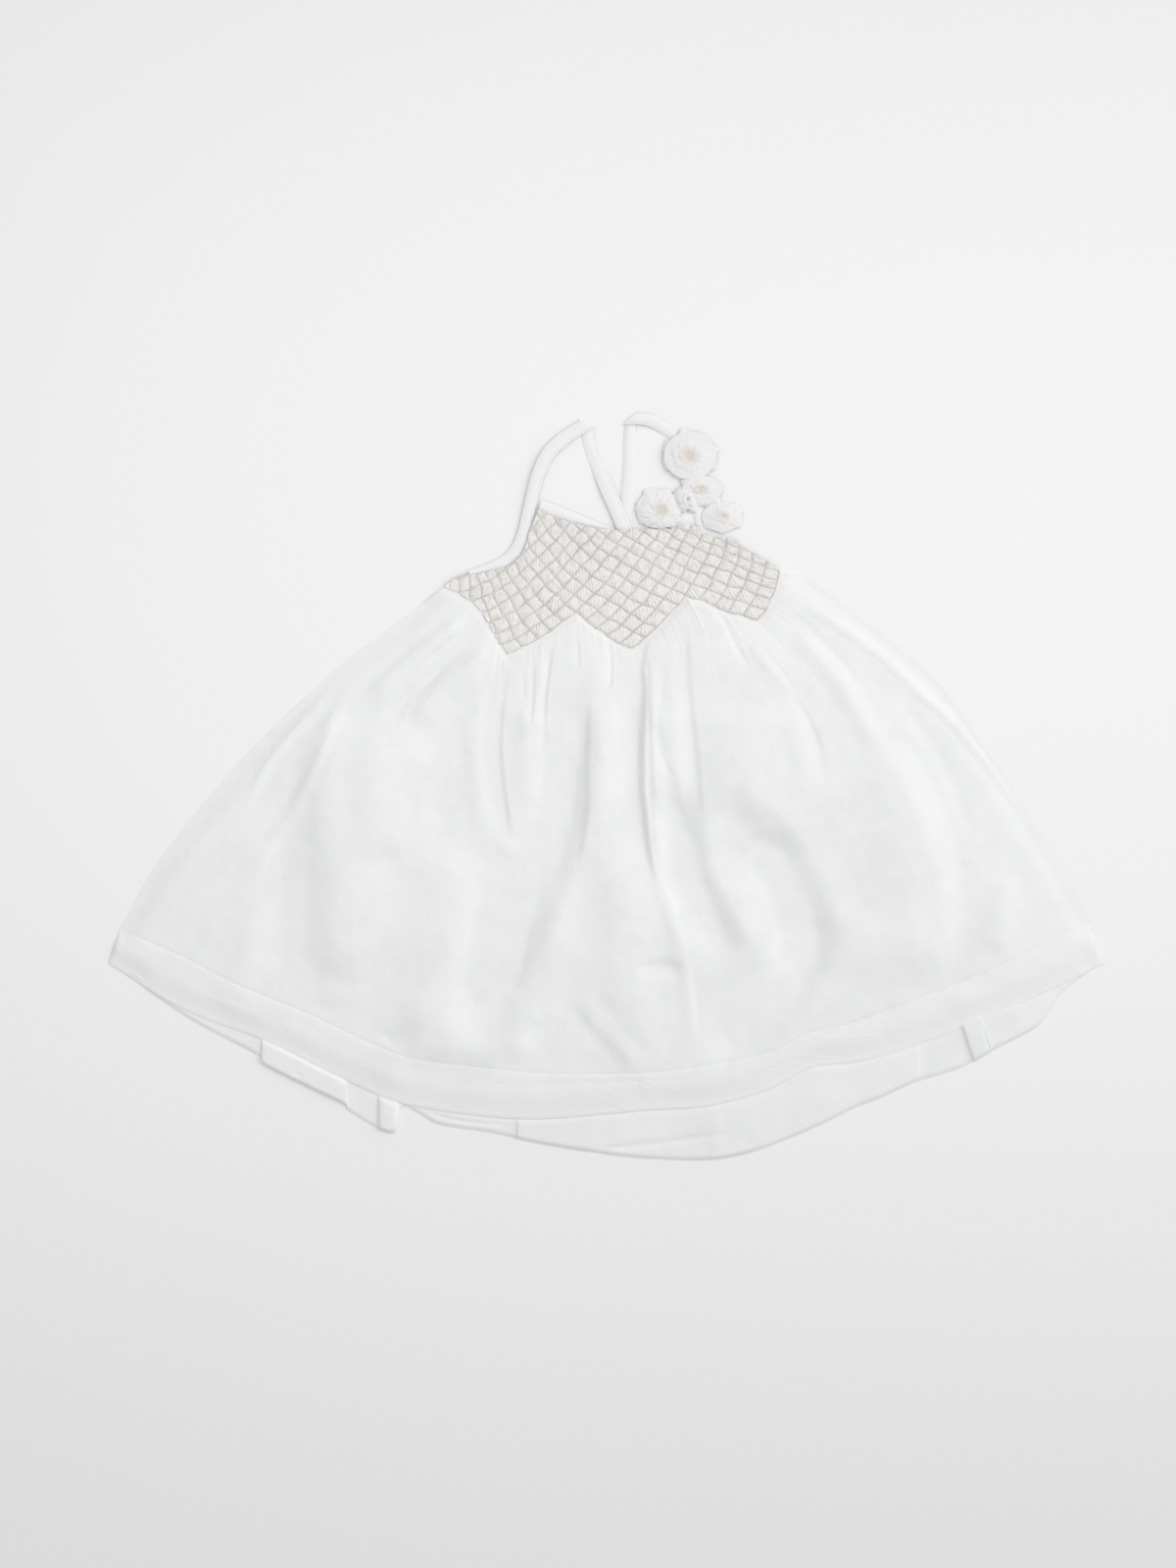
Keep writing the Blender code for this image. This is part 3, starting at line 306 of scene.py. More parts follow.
# Ridges rise and creases fall. Left and right are the widths of their flanks, looking from the start.
FOLDS = named(Fold, [
    ("main pleat", [(12, 60), (8, -53), (22, -187)], 30, 26, 1.8, 0, True),
    ("pleat edge", [(-8, 64), (-9, 41), (-10, 14), (-10, -12), (-13, -39), (-17, -61)], 24, 5, 1.8),
    ("pleat body", [(7, 68), (6, 28), (5, -12), (1, -46), (-6, -76), (-16, -103), (-25, -126), (-35, -146)
    ], 32, 17, 2.3, 15),
    ("main crease", [(26, 111), (24, 93), (22, 79), (23, 65), (23, 48), (22, 31), (22, 14), (22, -2),
        (24, -19), (26, -38), (29, -56), (35, -75)], 5, 30, -4.8, 0.4),
    ("crease lip", [(31, 102), (32, 68), (33, 35), (34, 1), (35, -32), (39, -63)], 9, 3.5, 1.1),
    ("edge line", [(30, -53), (37, -66), (44, -81), (50, -103), (54, -126), (58, -153), (61, -184)
    ], 6, 10, 0.8),
    ("second trough", [(-17, 75), (-24, 28), (-32, -12), (-42, -43), (-52, -74), (-65, -102), (-78, -128),
        (-95, -156)], 26, 34, -4.6),
    ("left point crease", [(-68, 84), (-72, 57), (-74, 37), (-74, 18), (-72, -1), (-69, -22), (-66, -41)
    ], 4.5, 16, -2.3, 0.4),
    ("gather 1", [(-56, 85), (-55, 68), (-55, 53)], 1.2, 5, -0.7),
    ("gather 2", [(-49, 89), (-49, 68), (-50, 49), (-51, 38)], 1.6, 6, -0.9),
    ("gather 3", [(-35, 101), (-38, 81), (-41, 57), (-41, 38), (-41, 18)], 1.6, 7, -1.1),
    ("gather 5", [(-18, 106), (-18, 92), (-18, 75)], 1.2, 5, -0.6),
    ("gather 6", [(2, 104), (4, 91), (4, 72), (2, 60)], 1.5, 6, -1.3),
    ("gather 7", [(6, 102), (10, 86), (15, 75)], 1.3, 5, -0.8),
    ("left point pleat", [(-52, 60), (-50, -2), (-50, -43)], 17, 17, 1.8),
    ("band crest", [(-106, -32), (-112, -66), (-116, -106), (-119, -140), (-126, -180)], 34, 44, 3.6),
    ("band foot trough", [(-70, -32), (-71, -66), (-73, -106), (-79, -146), (-88, -190)], 26, 30, -3.0),
    ("middle crest", [(-39, -56), (-40, -93), (-43, -133), (-52, -173)], 24, 26, 2.0),
    ("puffed side", [(-174, 57), (-182, 28), (-186, 1), (-185, -39), (-181, -86), (-183, -146)
    ], 60, 30, 5.2),
    ("side trough", [(-219, 1), (-223, -39), (-222, -86), (-225, -140)], 14, 24, -1.4),
    ("upper plateau", [(-156, 48), (-152, 1), (-148, -53)], 46, 30, 3.0),
    ("plateau edge", [(-109, 51), (-100, 11), (-97, -32)], 13, 30, -1.5),
    ("shoulder ridge", [(-92, 116), (-129, 89), (-164, 57)], 10, 9, 2.8),
    ("shoulder crease", [(-82, 114), (-96, 100), (-108, 89), (-120, 76), (-133, 66), (-141, 56), (-148, 41)
    ], 8, 9, -3.4),
    ("shoulder fullness", [(-75, 100), (-93, 81), (-114, 66), (-132, 38)], 22, 9, 2.2),
    ("upper shoulder crease", [(-91, 108), (-114, 91), (-130, 77)], 4, 4, -1.4),
    ("outer ridge", [(-151, 98), (-180, 77), (-201, 53), (-218, 31), (-234, 8), (-246, -16)], 6, 6, 2.2),
    ("outer crease", [(-177, 68), (-189, 54), (-199, 43), (-209, 35), (-221, 23), (-234, 1), (-246, -22)
    ], 8, 5, -1.3),
    ("lower ridge", [(-174, 70), (-183, 51), (-192, 30), (-201, 8), (-211, -14), (-229, -43), (-245, -66)
    ], 8, 9, 1.5),
    ("lower crease", [(-190, 41), (-195, 28), (-202, 14), (-209, 0), (-219, -12)], 3, 5, -0.6),
    ("edge crease", [(-258, -10), (-264, -26), (-270, -41)], 3, 3, -0.6),
    ("outer swell", [(-226, -32), (-238, -86), (-253, -146)], 30, 24, 1.5, 0, True),
    ("upper pucker", [(-77, -48), (-62, -47), (-49, -48), (-36, -52)], 14, 5, 1.6),
    ("small pucker", [(-53, -69), (-56, -75), (-59, -82)], 5, 6, -0.9),
    ("lower pucker", [(18, -128), (31, -124), (43, -124), (58, -126)], 7, 12, -1.6),
    ("lower pleat", [(-18, -142), (-8, -158), (7, -175), (23, -191)], 12, 10, 1.4),
    ("short lower pleat", [(-53, -155), (-47, -159), (-40, -162)], 4, 3, 0.4),
    ("right neck crease", [(53, 116), (54, 102), (55, 77), (57, 51), (60, 24), (62, 1), (64, -29)
    ], 5, 12, -1.1),
    ("inner bend", [(41, 77), (36, 53), (37, 26), (43, 10), (52, -2)], 4, 5, -0.5),
    ("right pleat", [(44, 68), (46, 10), (58, -40)], 16, 20, 1.6),
    ("right swell", [(96, 60), (98, 0), (104, -50)], 80, 56, 4.0),
    ("upper diagonal", [(32, 48), (39, 18), (45, -7), (51, -31)], 8, 9, -0.8),
    ("dark diagonal", [(45, 4), (49, -18), (53, -41), (59, -67), (71, -94), (90, -122)], 20, 26, -5.4),
    ("pouch", [(95, -62), (97, -90), (110, -128)], 24, 22, 1.4),
    ("pouch crease", [(66, -7), (89, -27), (112, -47), (125, -69), (138, -97), (156, -126)], 26, 44, -5.4),
    ("pouch crescent", [(63, -185), (87, -175), (112, -160), (130, -140), (141, -114), (145, -86)
    ], 34, 16, -3.0),
    ("pouch line", [(95, -116), (99, -115), (104, -114)], 2, 2, -0.4),
    ("first pleat crease", [(75, 122), (82, 111), (86, 102), (92, 90), (99, 79)], 3, 3, -0.6),
    ("second pleat crease", [(79, 112), (93, 95), (106, 79), (124, 60), (138, 43), (150, 12)], 6, 14, -0.6),
    ("third pleat crease", [(106, 104), (111, 91), (123, 74), (131, 60), (138, 45), (146, 26), (150, 6),
        (153, -10)], 2.6, 7, -0.4),
    ("double pleat", [(97, 102), (124, 57), (140, -7)], 12, 13, 0.9),
    ("right shoulder ridge", [(126, 108), (160, 71), (189, 18)], 12, 12, 1.8),
    ("right shoulder crease", [(122, 122), (138, 108), (154, 92), (165, 79), (175, 64)], 5, 9, -0.7),
    ("right fall", [(179, 35), (206, -12), (221, -53), (224, -93), (216, -140)], 24, 64, 4.6),
    ("outer right crease", [(200, 61), (233, 11), (251, -38)], 8, 8, -0.9),
    ("right ray", [(276, -59), (271, -86), (264, -116)], 14, 18, 1.8),
    ("hem crest left", [(-146, -166), (-106, -176), (-39, -175)], 46, 22, 3.0),
    ("hem crest right", [(136, -86), (162, -106), (193, -114), (229, -104)], 44, 34, 2.6),
    ("hem lift left", [(-205, -160), (-205, -173), (-205, -188)], 28, 28, 1.0, 0, True),
    ("hem lift tab", [(-144, -170), (-146, -193), (-147, -215)], 18, 18, 1.2, 0, True),
    ("hem lift right", [(244, -133), (248, -148), (251, -164)], 20, 20, 1.4, 0, True),
    ("left hem dent", [(-155, -167), (-148, -173), (-143, -179)], 4, 4, -0.6),
    ("outer hem dent", [(-227, -137), (-222, -140), (-218, -144)], 4, 4, -0.6),
    ("puffed foot", [(-199, -142), (-179, -145), (-155, -142)], 12, 12, 1.0),
    ("band crease left", [(-287, -133), (-269, -141), (-244, -151), (-215, -168)], 2.2, 2.2, -0.35),
    ("band crease tab", [(-187, -185), (-173, -192), (-156, -198)], 2.4, 2.4, -0.4),
    ("band crease middle", [(-125, -201), (-82, -205), (-12, -203), (55, -200)], 2.4, 2.4, -0.35),
    ("band crease right", [(82, -195), (122, -183), (162, -166), (216, -150)], 2.4, 2.4, -0.3),
])

# Bias strips, from where each starts on the front to its end on the back's neckline
ON_STRAP = CLOTH + SEAM_GAP  # the underside of what lies on a strip
LEFT_STRAP_FRONT = named(Strip, [
    (-93, 145, 3.5, 1.2), (-79, 149, 6, 1.1), (-67, 154, 8.5, 1.0), (-59, 163, 9, 1.3),
    (-55, 175, 8, 1.5), (-52, 189, 7.5, 2.0), (-49, 202, 7.5, 2.4), (-45, 215, 8, 2.6),
    (-39, 227, 8.5, 2.4), (-30, 236, 8.5, 1.9), (-20, 243, 8.5, 1.5),
])
LEFT_STRAP_FOLD = Strip(-13, 247, 8.7, ON_STRAP)
LEFT_STRAP_BACK = named(Strip, [
    (-10, 233, 9, 0), (-4.5, 218, 9.3, 0.2), (2, 202, 9.3, 1.5), (8.3, 188, 9.3, 1.5),
    (15, 171, 9.3, 1.5),
])
RIGHT_STRAP_FRONT = named(Strip, [
    (66, 172, 6, 0), (64, 186, 7.5, 0), (61, 202, 8, 0), (55, 222, 8, 0), (48, 238, 8, 0),
    (39, 246, 8, 0.5), (29, 250.5, 8, 1.4),
])
RIGHT_STRAP_FOLD = Strip(18, 251, 8, ON_STRAP)
RIGHT_STRAP_BACK = named(Strip, [
    (16.5, 236, 8, 0), (16.5, 222, 8.5, 0), (15.5, 206, 9, 0), (14, 190, 9, 0), (12.5, 170, 9, 0),
])
NECK_BINDING = named(Strip, [
    (-44.5, 191.5, 7, 1.5), (-37, 188.5, 8.5, 1.5), (-28, 185, 8, 1.5), (-18, 181.5, 7, 1.5),
    (-9, 178.5, 5.5, 1.5), (0, 176, 3, 1.5), (6, 175.2, 1.8, 1.5),
])

# Creases of the back's hem where it shows below the front
BACK_FOLDS = named(Fold, [
    ("centre seam", [(20, -224), (20, -255)], 1.2, 1.2, -0.5, 0, True),
    ("left band edge", [(-12, -250), (18, -246), (54, -242), (92, -236)], 2.2, 5, -0.9),
    ("right band light", [(75, -218), (76, -236), (75, -256)], 4, 4, 0.6, 0, True),
    ("right band edge", [(96, -214), (124, -206), (152, -196)], 3, 3, -0.6),
    ("right lap crease", [(257, -161), (264, -183)], 1.5, 2, -0.8, 0, True),
    ("left strip crease", [(-124, -223), (-96, -230), (-66, -232)], 2, 3, -0.5),
    ("first lap", [(-216, -186), (-206, -204), (-199, -212)], 1.6, 1.6, -0.7, 0, True),
    ("second lap", [(-214, -203), (-207, -207), (-199, -212)], 2.0, 2.0, 0.7, 0, True),
])

# The right side's edge stands up in a narrow roll
SIDE_ROLLS = named(Fold, [
    ("upper roll", [(132, 126), (164, 107), (194, 84), (230, 52)], 6, 6, 1.0),
    ("lower roll", [(196, 73), (230, 51), (268, 8), (300, -36), (326, -82)], 6, 6, 1.5, 0, True),
])

# Petals: how far they start and reach as shares of the flower, and their heights
Whorl = namedtuple("Whorl", "petals turn start reach spread low crest rim ruffle")
Tuft = namedtuple("Tuft", "x y half_width half_depth whorls")
Flower = namedtuple(
    "Flower", "name x y half_width half_depth underside jitter seed heart whorls tufts", defaults=([],)
)
FLOWERS = [
    Flower("flower_1", 58.3, 225.6, 20.0, 18.2, 1.5, 0.9, 3, (-1.6, -0.4), named(Whorl, [
        (8, 0.3, 0.3, 1.02, 1.45, 1.5, 1.7, 0.25, 0.26),
        (6, 0.75, 0.2, 0.78, 1.55, 1.9, 2.5, 1.1, 0.32),
        (5, 0.2, 0.1, 0.5, 1.6, 1.9, 2.9, 2.2, 0.34),
    ])),
    Flower("flower_2", 36.6, 189.2, 17.0, 14.8, 0.3, 0.9, 8, (1.6, -1.4), named(Whorl, [
        (7, 1.1, 0.3, 1.02, 1.45, 1.6, 1.9, 0.3, 0.3),
        (7, 0.5, 0.24, 0.84, 1.5, 1.9, 2.6, 1.4, 0.34),
        (6, 0.1, 0.14, 0.58, 1.55, 1.8, 3.0, 2.4, 0.34),
    ])),
    Flower("flower_3", 80.0, 183.8, 15.2, 11.2, 0.3, 0.9, 5, (0.8, 0.4), named(Whorl, [
        (6, 0.6, 0.24, 1.02, 1.5, 1.5, 1.8, 0.3, 0.28),
        (5, 0.1, 0.14, 0.78, 1.6, 1.9, 2.5, 1.3, 0.3),
        (2, 0.12, 0.05, 0.5, 1.85, 2.0, 3.0, 2.4, 0.24),
    ])),
    Flower("flower_4", 66.3, 201.8, 15.0, 10.8, 1.5, 1.8, 11, (-1.0, 0.8), named(Whorl, [
        (6, 0.2, 0.2, 1.04, 1.45, 1.6, 1.9, 0.3, 0.45),
        (5, 0.9, 0.14, 0.8, 1.5, 1.9, 2.5, 1.4, 0.55),
        (4, 0.5, 0.08, 0.5, 1.55, 1.9, 3.0, 2.4, 0.5),
    ]), [Tuft(56.5, 195.5, 9.4, 10.8, named(Whorl, [
        (5, 0.4, 0.12, 1.0, 1.5, 1.5, 2.3, 0.3, 0.5),
        (4, 1.1, 0.08, 0.62, 1.6, 1.9, 3.0, 1.6, 0.6),
    ]))]),
]
PETAL_CUT_SIDE = 3.3  # side of the cloth that a flower takes, in mean half widths
PETAL_ROWS = 18
PETAL_COLUMNS = 21
PETAL_WALL = 0.3
PETAL_ROUNDNESS = 0.22  # how far its corners draw back from its tip
PETAL_SQUARENESS = 2.4
PETAL_CUP = 0.45  # how far its sides hang down
PETAL_OVERLAP_RISE = 0.28  # one side lies over the next petal, the other under
PETAL_FOOT_TILT = 0.3  # the share of that at its foot
PETAL_LEAST = 0.35
PETAL_FOOT = 0.7  # its width at the foot, and how much wider its middle is, as shares
PETAL_BELLY = 0.3
PETAL_NARROWING = 1.1
PETAL_UNDERSIDE_FALL = 0.8
TURN_VARIETY = 0.14
REACH_VARIETY = 0.07
CREST_VARIETY = 0.3
RUFFLES = 4.3
RUFFLE_SHIFT = 3  # how far chance moves the ruffle along the rim
RIM_WAVES = 6
RIM_WAVE = 0.03
RIM_SHIFT = 5
GATHER_PLEATS = 11.0  # fine pleats that run out from a petal's gathered foot
GATHER_PLEAT_DEPTH = 0.13
GATHER_PLEAT_FADE = 0.6
GATHER_PLEAT_SHIFT = 9
HEART_HEIGHT = 0.6  # the closed heart under the petals
HEART_RADII = (0.01, 0.9)
HEART_FULLNESS = 0.7
HEART_PUCKER = 0.2
HEART_PUCKERS = 9
HEART_STEPS = 24
HEART_ROWS = 14

# Sewing
STITCH_LENGTH = 1.9
STITCH_PITCH = 2.7
STITCH_RADIUS = 0.17
STITCH_SINK = 0.1
STITCH_FLATNESS = 0.8
STITCH_WAY = 0.002  # its way is taken from so far before and after it, as shares of the line


def plan(stations):
    return np.array([(station.x, station.y) for station in stations], float)


def smooth_curve(points, steps=SMOOTH_STEPS):
    """A dense curve through the points, with tangents parallel to their neighbours' chords."""
    points = np.asarray(points, float)
    padded = np.vstack([2 * points[0] - points[1], points, 2 * points[-1] - points[-2]])
    dense = []
    for i in range(1, len(padded) - 2):
        before, start, end, after = padded[i - 1 : i + 3]
        for t in np.arange(steps) / steps:
            out = (end - before) / 2
            into = (after - start) / 2
            dense.append(
                (2 * t**3 - 3 * t**2 + 1) * start + (t**3 - 2 * t**2 + t) * out
                + (3 * t**2 - 2 * t**3) * end + (t**3 - t**2) * into
            )
    dense.append(points[-1])
    return np.array(dense)


def steps_of(line):
    return np.linalg.norm(np.diff(line, axis=0), axis=1)


def reached(line):
    """How far along a line each of its points lies."""
    return np.append(0, np.cumsum(steps_of(line)))


def curve_of(stations, steps=SMOOTH_STEPS):
    return smooth_curve(plan(stations), steps)


def at_shares(curve, shares):
    """Points of a curve at shares of its length."""
    length = reached(curve)
    return np.stack([np.interp(shares, length / length[-1], column) for column in curve.T], -1)


def at_x(curve, x):
    return np.interp(x, curve[:, 0], curve[:, 1])


def from_path(points, path):
    """How far points lie from a path, left of it positive, and how far along it, from 0 to 1."""
    start = path[:-1]
    step = np.diff(path, axis=0)
    lengths = steps_of(path)
    offset = points[:, None, :] - start[None]
    share = np.clip((offset * step).sum(-1) / lengths**2, 0, 1)
    apart = offset - share[..., None] * step
    distance = np.linalg.norm(apart, axis=-1)
    nearest = distance.argmin(axis=1)
    every = np.arange(len(points))
    side = step[nearest, 0] * apart[every, nearest, 1] - step[nearest, 1] * apart[every, nearest, 0]
    before = reached(path)
    along = (before[nearest] + share[every, nearest] * lengths[nearest]) / before[-1]
    return np.where(side >= 0, 1, -1) * distance[every, nearest], along


def ease(share):
    share = np.clip(share, 0, 1)
    return share * share * (3 - 2 * share)


def bell(distance, width):
    """One in the middle, falling smoothly to nothing at the width."""
    return 0.5 * (1 + np.cos(np.pi * np.clip(np.abs(distance) / width, 0, 1)))


def uneven(points, size, seed):
    """Smooth random values from -1 to 1 over the plan, in patches of that size."""
    values = np.random.default_rng(seed).uniform(-1, 1, (256, 256))
    place = np.asarray(points, float) / size + 128
    corner = np.floor(place).astype(int)
    share = ease(place - corner)
    column, row = corner[..., 0] % 255, corner[..., 1] % 255
    low = values[row, column] * (1 - share[..., 0]) + values[row, column + 1] * share[..., 0]
    high = values[row + 1, column] * (1 - share[..., 0]) + values[row + 1, column + 1] * share[..., 0]
    return low * (1 - share[..., 1]) + high * share[..., 1]


def astray(points, size, seed):
    """Smooth random shifts of up to one each way."""
    return np.stack([uneven(points, size, seed), uneven(points, size, seed + 1)], -1)


def points_of(*columns):
    """Grids of points, each of whose columns may be the same over its rows or columns."""
    return np.dstack(np.broadcast_arrays(*columns))


def fold_rise(folds, points):
    """The height that ridges and creases add at each point."""
    flat = points.reshape(-1, 2)
    lift = np.zeros(len(flat))
    for fold in folds:
        path = smooth_curve(fold.path, FOLD_STEPS)
        widest = max(fold.left, fold.right) + fold.flat
        near = ((flat > path.min(0) - widest) & (flat < path.max(0) + widest)).all(axis=1)
        offset, along = from_path(flat[near], path)
        share = min(max(FOLD_FADE, FOLD_END / steps_of(path).sum()), 0.5)
        fade = ease(along / share)
        if not fold.runs_out:
            fade = fade * ease((1 - along) / share)
        width = np.where(offset > 0, fold.left, fold.right)
        lift[near] += fold.rise * bell(np.maximum(np.abs(offset) - fold.flat, 0), width) * fade
    return lift.reshape(points.shape[:-1])


def panel(top, bottom, left, right, down):
    """A Coons patch in plan: rows by columns by 2, from its four edges."""
    across = np.linspace(0, 1, len(top))
    spread = (bottom[:, 0] - bottom[0, 0]) / (bottom[-1, 0] - bottom[0, 0])
    rows = []
    for share, left_point, right_point in zip(down, left, right):
        row = (1 - share) * top + share * bottom
        mix = ((1 - share) * across + share * spread)[:, None]
        rows.append(row + (1 - mix) * (left_point - row[0]) + mix * (right_point - row[-1]))
    return np.array(rows)


def smocking_terms(run, rank):
    run, rank = np.asarray(run) / 10, np.asarray(rank) / 10
    return np.stack([run**i * rank**j for i in range(4) for j in range(4 - i)], -1)


def smocking_map():
    """A function from run and rank to the plan, a cubic that passes close to the given cells."""
    cells = SMOCKING + SMOCKING_CORNERS
    weight = np.array([1.0] * len(SMOCKING) + [CORNER_WEIGHT] * len(SMOCKING_CORNERS))[:, None]
    terms = smocking_terms([cell.run for cell in cells], [cell.rank for cell in cells])
    factors = np.linalg.lstsq(terms * weight, plan(cells) * weight, rcond=None)[0]

    def place(run, rank):
        spots = smocking_terms(run, rank) @ factors
        return spots + LATTICE_WANDER * astray(spots, LATTICE_PATCH, seed=51)

    return place


def lowest_rank(run):
    """The smocking's lower edge: three points, each of five cells."""
    return FIRST_RANK if run < 0 else POINT_CELLS * (1 + run // POINT_CELLS)


def highest_rank(run):
    """Past the neckline by a cell or two, for the trim."""
    return min(LAST_RANK, math.ceil(NECK_RANK + NECK_RISE * (run - FIRST_RUN + 1)))


def strip_edge(strips, side, extra):
    """One edge of a flat strip in plan, and extra beyond it. Side 1 is to the right of its way."""
    centres = plan(strips)
    along = np.gradient(centres, axis=0)
    along /= np.linalg.norm(along, axis=1)[:, None]
    right = np.stack([along[:, 1], -along[:, 0]], -1)
    reach = np.array([strip.width / 2 + extra for strip in strips])
    return centres + side * right * reach[:, None]


def scalloped(stations, inset=0.0):
    """A dense line through the stations, with a bulge for each cell, to the left of its way."""
    curve = curve_of(stations, EDGE_STEPS)
    curve = at_shares(curve, np.linspace(0, 1, int(steps_of(curve).sum() / SCALLOP_STEP)))
    way = np.gradient(curve, axis=0)
    way /= np.linalg.norm(way, axis=1)[:, None]
    bulge = SCALLOP * np.abs(np.sin(np.pi * np.arange(len(curve)) * SCALLOP_STEP / SCALLOP_LENGTH)) - inset
    return curve + np.stack([-way[:, 1], way[:, 0]], -1) * bulge[:, None]


def smocking_outline(place):
    """The smocked panel's trim line in plan, from the left armhole's corner round by the hem side."""
    left_point = place(0, 0)
    below = left_point[1] - TRIM_MARGIN
    beyond = RIGHT_ARMHOLE[-1].x + TRIM_MARGIN
    armhole = strip_edge(LEFT_STRAP_FRONT, 1, -STRIP_LAP)[:ARMHOLE_STRIPS]
    return np.vstack([
        curve_of(SMOCKED_SIDE, EDGE_STEPS),
        [left_point, (left_point[0], below), (beyond, below), (beyond, RIGHT_ARMHOLE[-1].y)],
        scalloped(RIGHT_ARMHOLE)[::-1],
        scalloped(NECK_MIDDLE)[::-1],
        strip_edge(NECK_BINDING, 1, -STRIP_LAP)[::-1],
        smooth_curve(armhole, EDGE_STEPS)[::-1],
        plan(LEFT_ARMHOLE_END)[::-1],
    ])


def inside(points, outline):
    """Which points of the plan lie within a closed outline."""
    x, y = points[..., 0], points[..., 1]
    found = np.zeros(x.shape, bool)
    for (x0, y0), (x1, y1) in zip(outline, np.roll(outline, -1, axis=0)):
        if y0 != y1:
            found ^= ((y0 > y) != (y1 > y)) & (x < (x1 - x0) * (y - y0) / (y1 - y0) + x0)
    return found


def neck_lift(points):
    far = (points - (NECK_LIFT_X, NECK_LIFT_Y)) / NECK_LIFT_REACH
    return NECK_LIFT * ease(1 + NECK_LIFT_PLATEAU - np.linalg.norm(far, axis=-1))


# Making meshes


def select_only(piece):
    bpy.ops.object.select_all(action="DESELECT")
    piece.select_set(True)
    bpy.context.view_layer.objects.active = piece


def apply(piece, modifier):
    select_only(piece)
    bpy.ops.object.modifier_apply(modifier=modifier.name)


def put_in_scene(name, data):
    piece = bpy.data.objects.new(name, data)
    bpy.context.scene.collection.objects.link(piece)
    return piece


@contextmanager
def editing(mesh):
    """A mesh opened for edits, which are then written back to it."""
    shape = bmesh.new()
    shape.from_mesh(mesh)
    yield shape
    shape.to_mesh(mesh)
    shape.free()


def cloth_mesh(name, grids, finish):
    """Sheets of cloth as one piece, each from rows by columns of points and their UV places."""
    points, places, faces = [], [], []
    for grid, place in grids:
        rows, columns = grid.shape[:2]
        index = np.arange(rows * columns).reshape(rows, columns) + sum(len(part) for part in points)
        corners = index[:-1, :-1], index[1:, :-1], index[1:, 1:], index[:-1, 1:]
        faces.append(np.stack(corners, -1).reshape(-1, 4))
        points.append(grid.reshape(-1, 3))
        places.append(np.asarray(place, float).reshape(-1, 2))
    faces = np.concatenate(faces)
    mesh = bpy.data.meshes.new(name)
    mesh.from_pydata((np.concatenate(points) * MM).tolist(), [], faces.tolist())
    layer = mesh.uv_layers.new(name="cloth")
    layer.data.foreach_set("uv", np.concatenate(places)[faces.ravel()].ravel())
    mesh.materials.append(finish)
    return put_in_scene(name, mesh)


def give_wall(piece, thickness):
    """Turns a sheet into a thin closed shell that grows inwards from its outer face."""
    wall = piece.modifiers.new("Wall", "SOLIDIFY")
    wall.thickness = thickness * MM
    wall.offset = -1
    wall.use_even_offset = False
    apply(piece, wall)


def smooth(piece):
    """Smooth but for the rims, where a sheet turns to its other side."""
    select_only(piece)
    bpy.ops.object.shade_smooth_by_angle(angle=RIM_ANGLE)


def merge_points(piece, distance=0.01):
    with editing(piece.data) as shape:
        bmesh.ops.remove_doubles(shape, verts=shape.verts, dist=distance * MM)


# Skirt


def skirt_top(place):
    """The skirt's upper edge, along the smocking's lower edge."""
    side = np.vstack([curve_of(SMOCKED_SIDE, EDGE_STEPS), place(0, 0)])
    edge = [at_shares(side, np.linspace(0, 1, SKIRT_FAN[0].columns + 1))]
    run, rank = 0, 0
    for i, reach in enumerate(SKIRT_FAN[1:]):
        share = np.arange(1, reach.columns + 1) / reach.columns * POINT_CELLS
        if i % 2 == 0:
            edge.append(place(np.full(len(share), run), rank + share))
            rank += POINT_CELLS
        else:
            edge.append(place(run + share, np.full(len(share), rank)))
            run += POINT_CELLS
    return np.vstack(edge)


def gathers(fallen):
    """Small pleats let go below the smocking, each of its own depth and length."""
    chance = np.random.default_rng(21)
    column = np.arange(fallen.shape[1])
    ends = np.concatenate([[0], np.cumsum([reach.columns for reach in SKIRT_FAN])])
    waves = np.interp(column, ends, np.arange(len(ends)) * POINT_CELLS * GATHERS_PER_CELL)
    even = waves
    for size, pace in GATHER_SPACING:
        waves = waves + size * np.sin(pace * even)
    number = np.floor(waves).astype(int)
    depth = chance.uniform(*GATHER_DEPTHS, number.max() + 1)[number] * GATHER_RISE
    reach = chance.uniform(*GATHER_REACHES, number.max() + 1)[number] * GATHER_REACH
    depth = depth * np.sin(np.pi * (waves - number)) ** 2
    return depth * np.exp(-fallen / reach) * ease(fallen / GATHER_START)


def turned_edge(points, inner_points, bottom, turn_out, turn_in):
    """Rows past an edge that roll it over, down to the bottom and back under itself."""
    way = points[..., :2] - inner_points[..., :2]
    way = np.append(way / np.linalg.norm(way, axis=-1)[..., None], np.zeros(way.shape[:-1] + (1,)), -1)
    drop = np.maximum(points[..., 2:] - bottom, LEAST_TURN) * (0, 0, 1.0)
    rows = [points + way * turn_out * out - drop * down for out, down in TURNED_ROWS]
    return rows + [points - way * turn_in - drop]


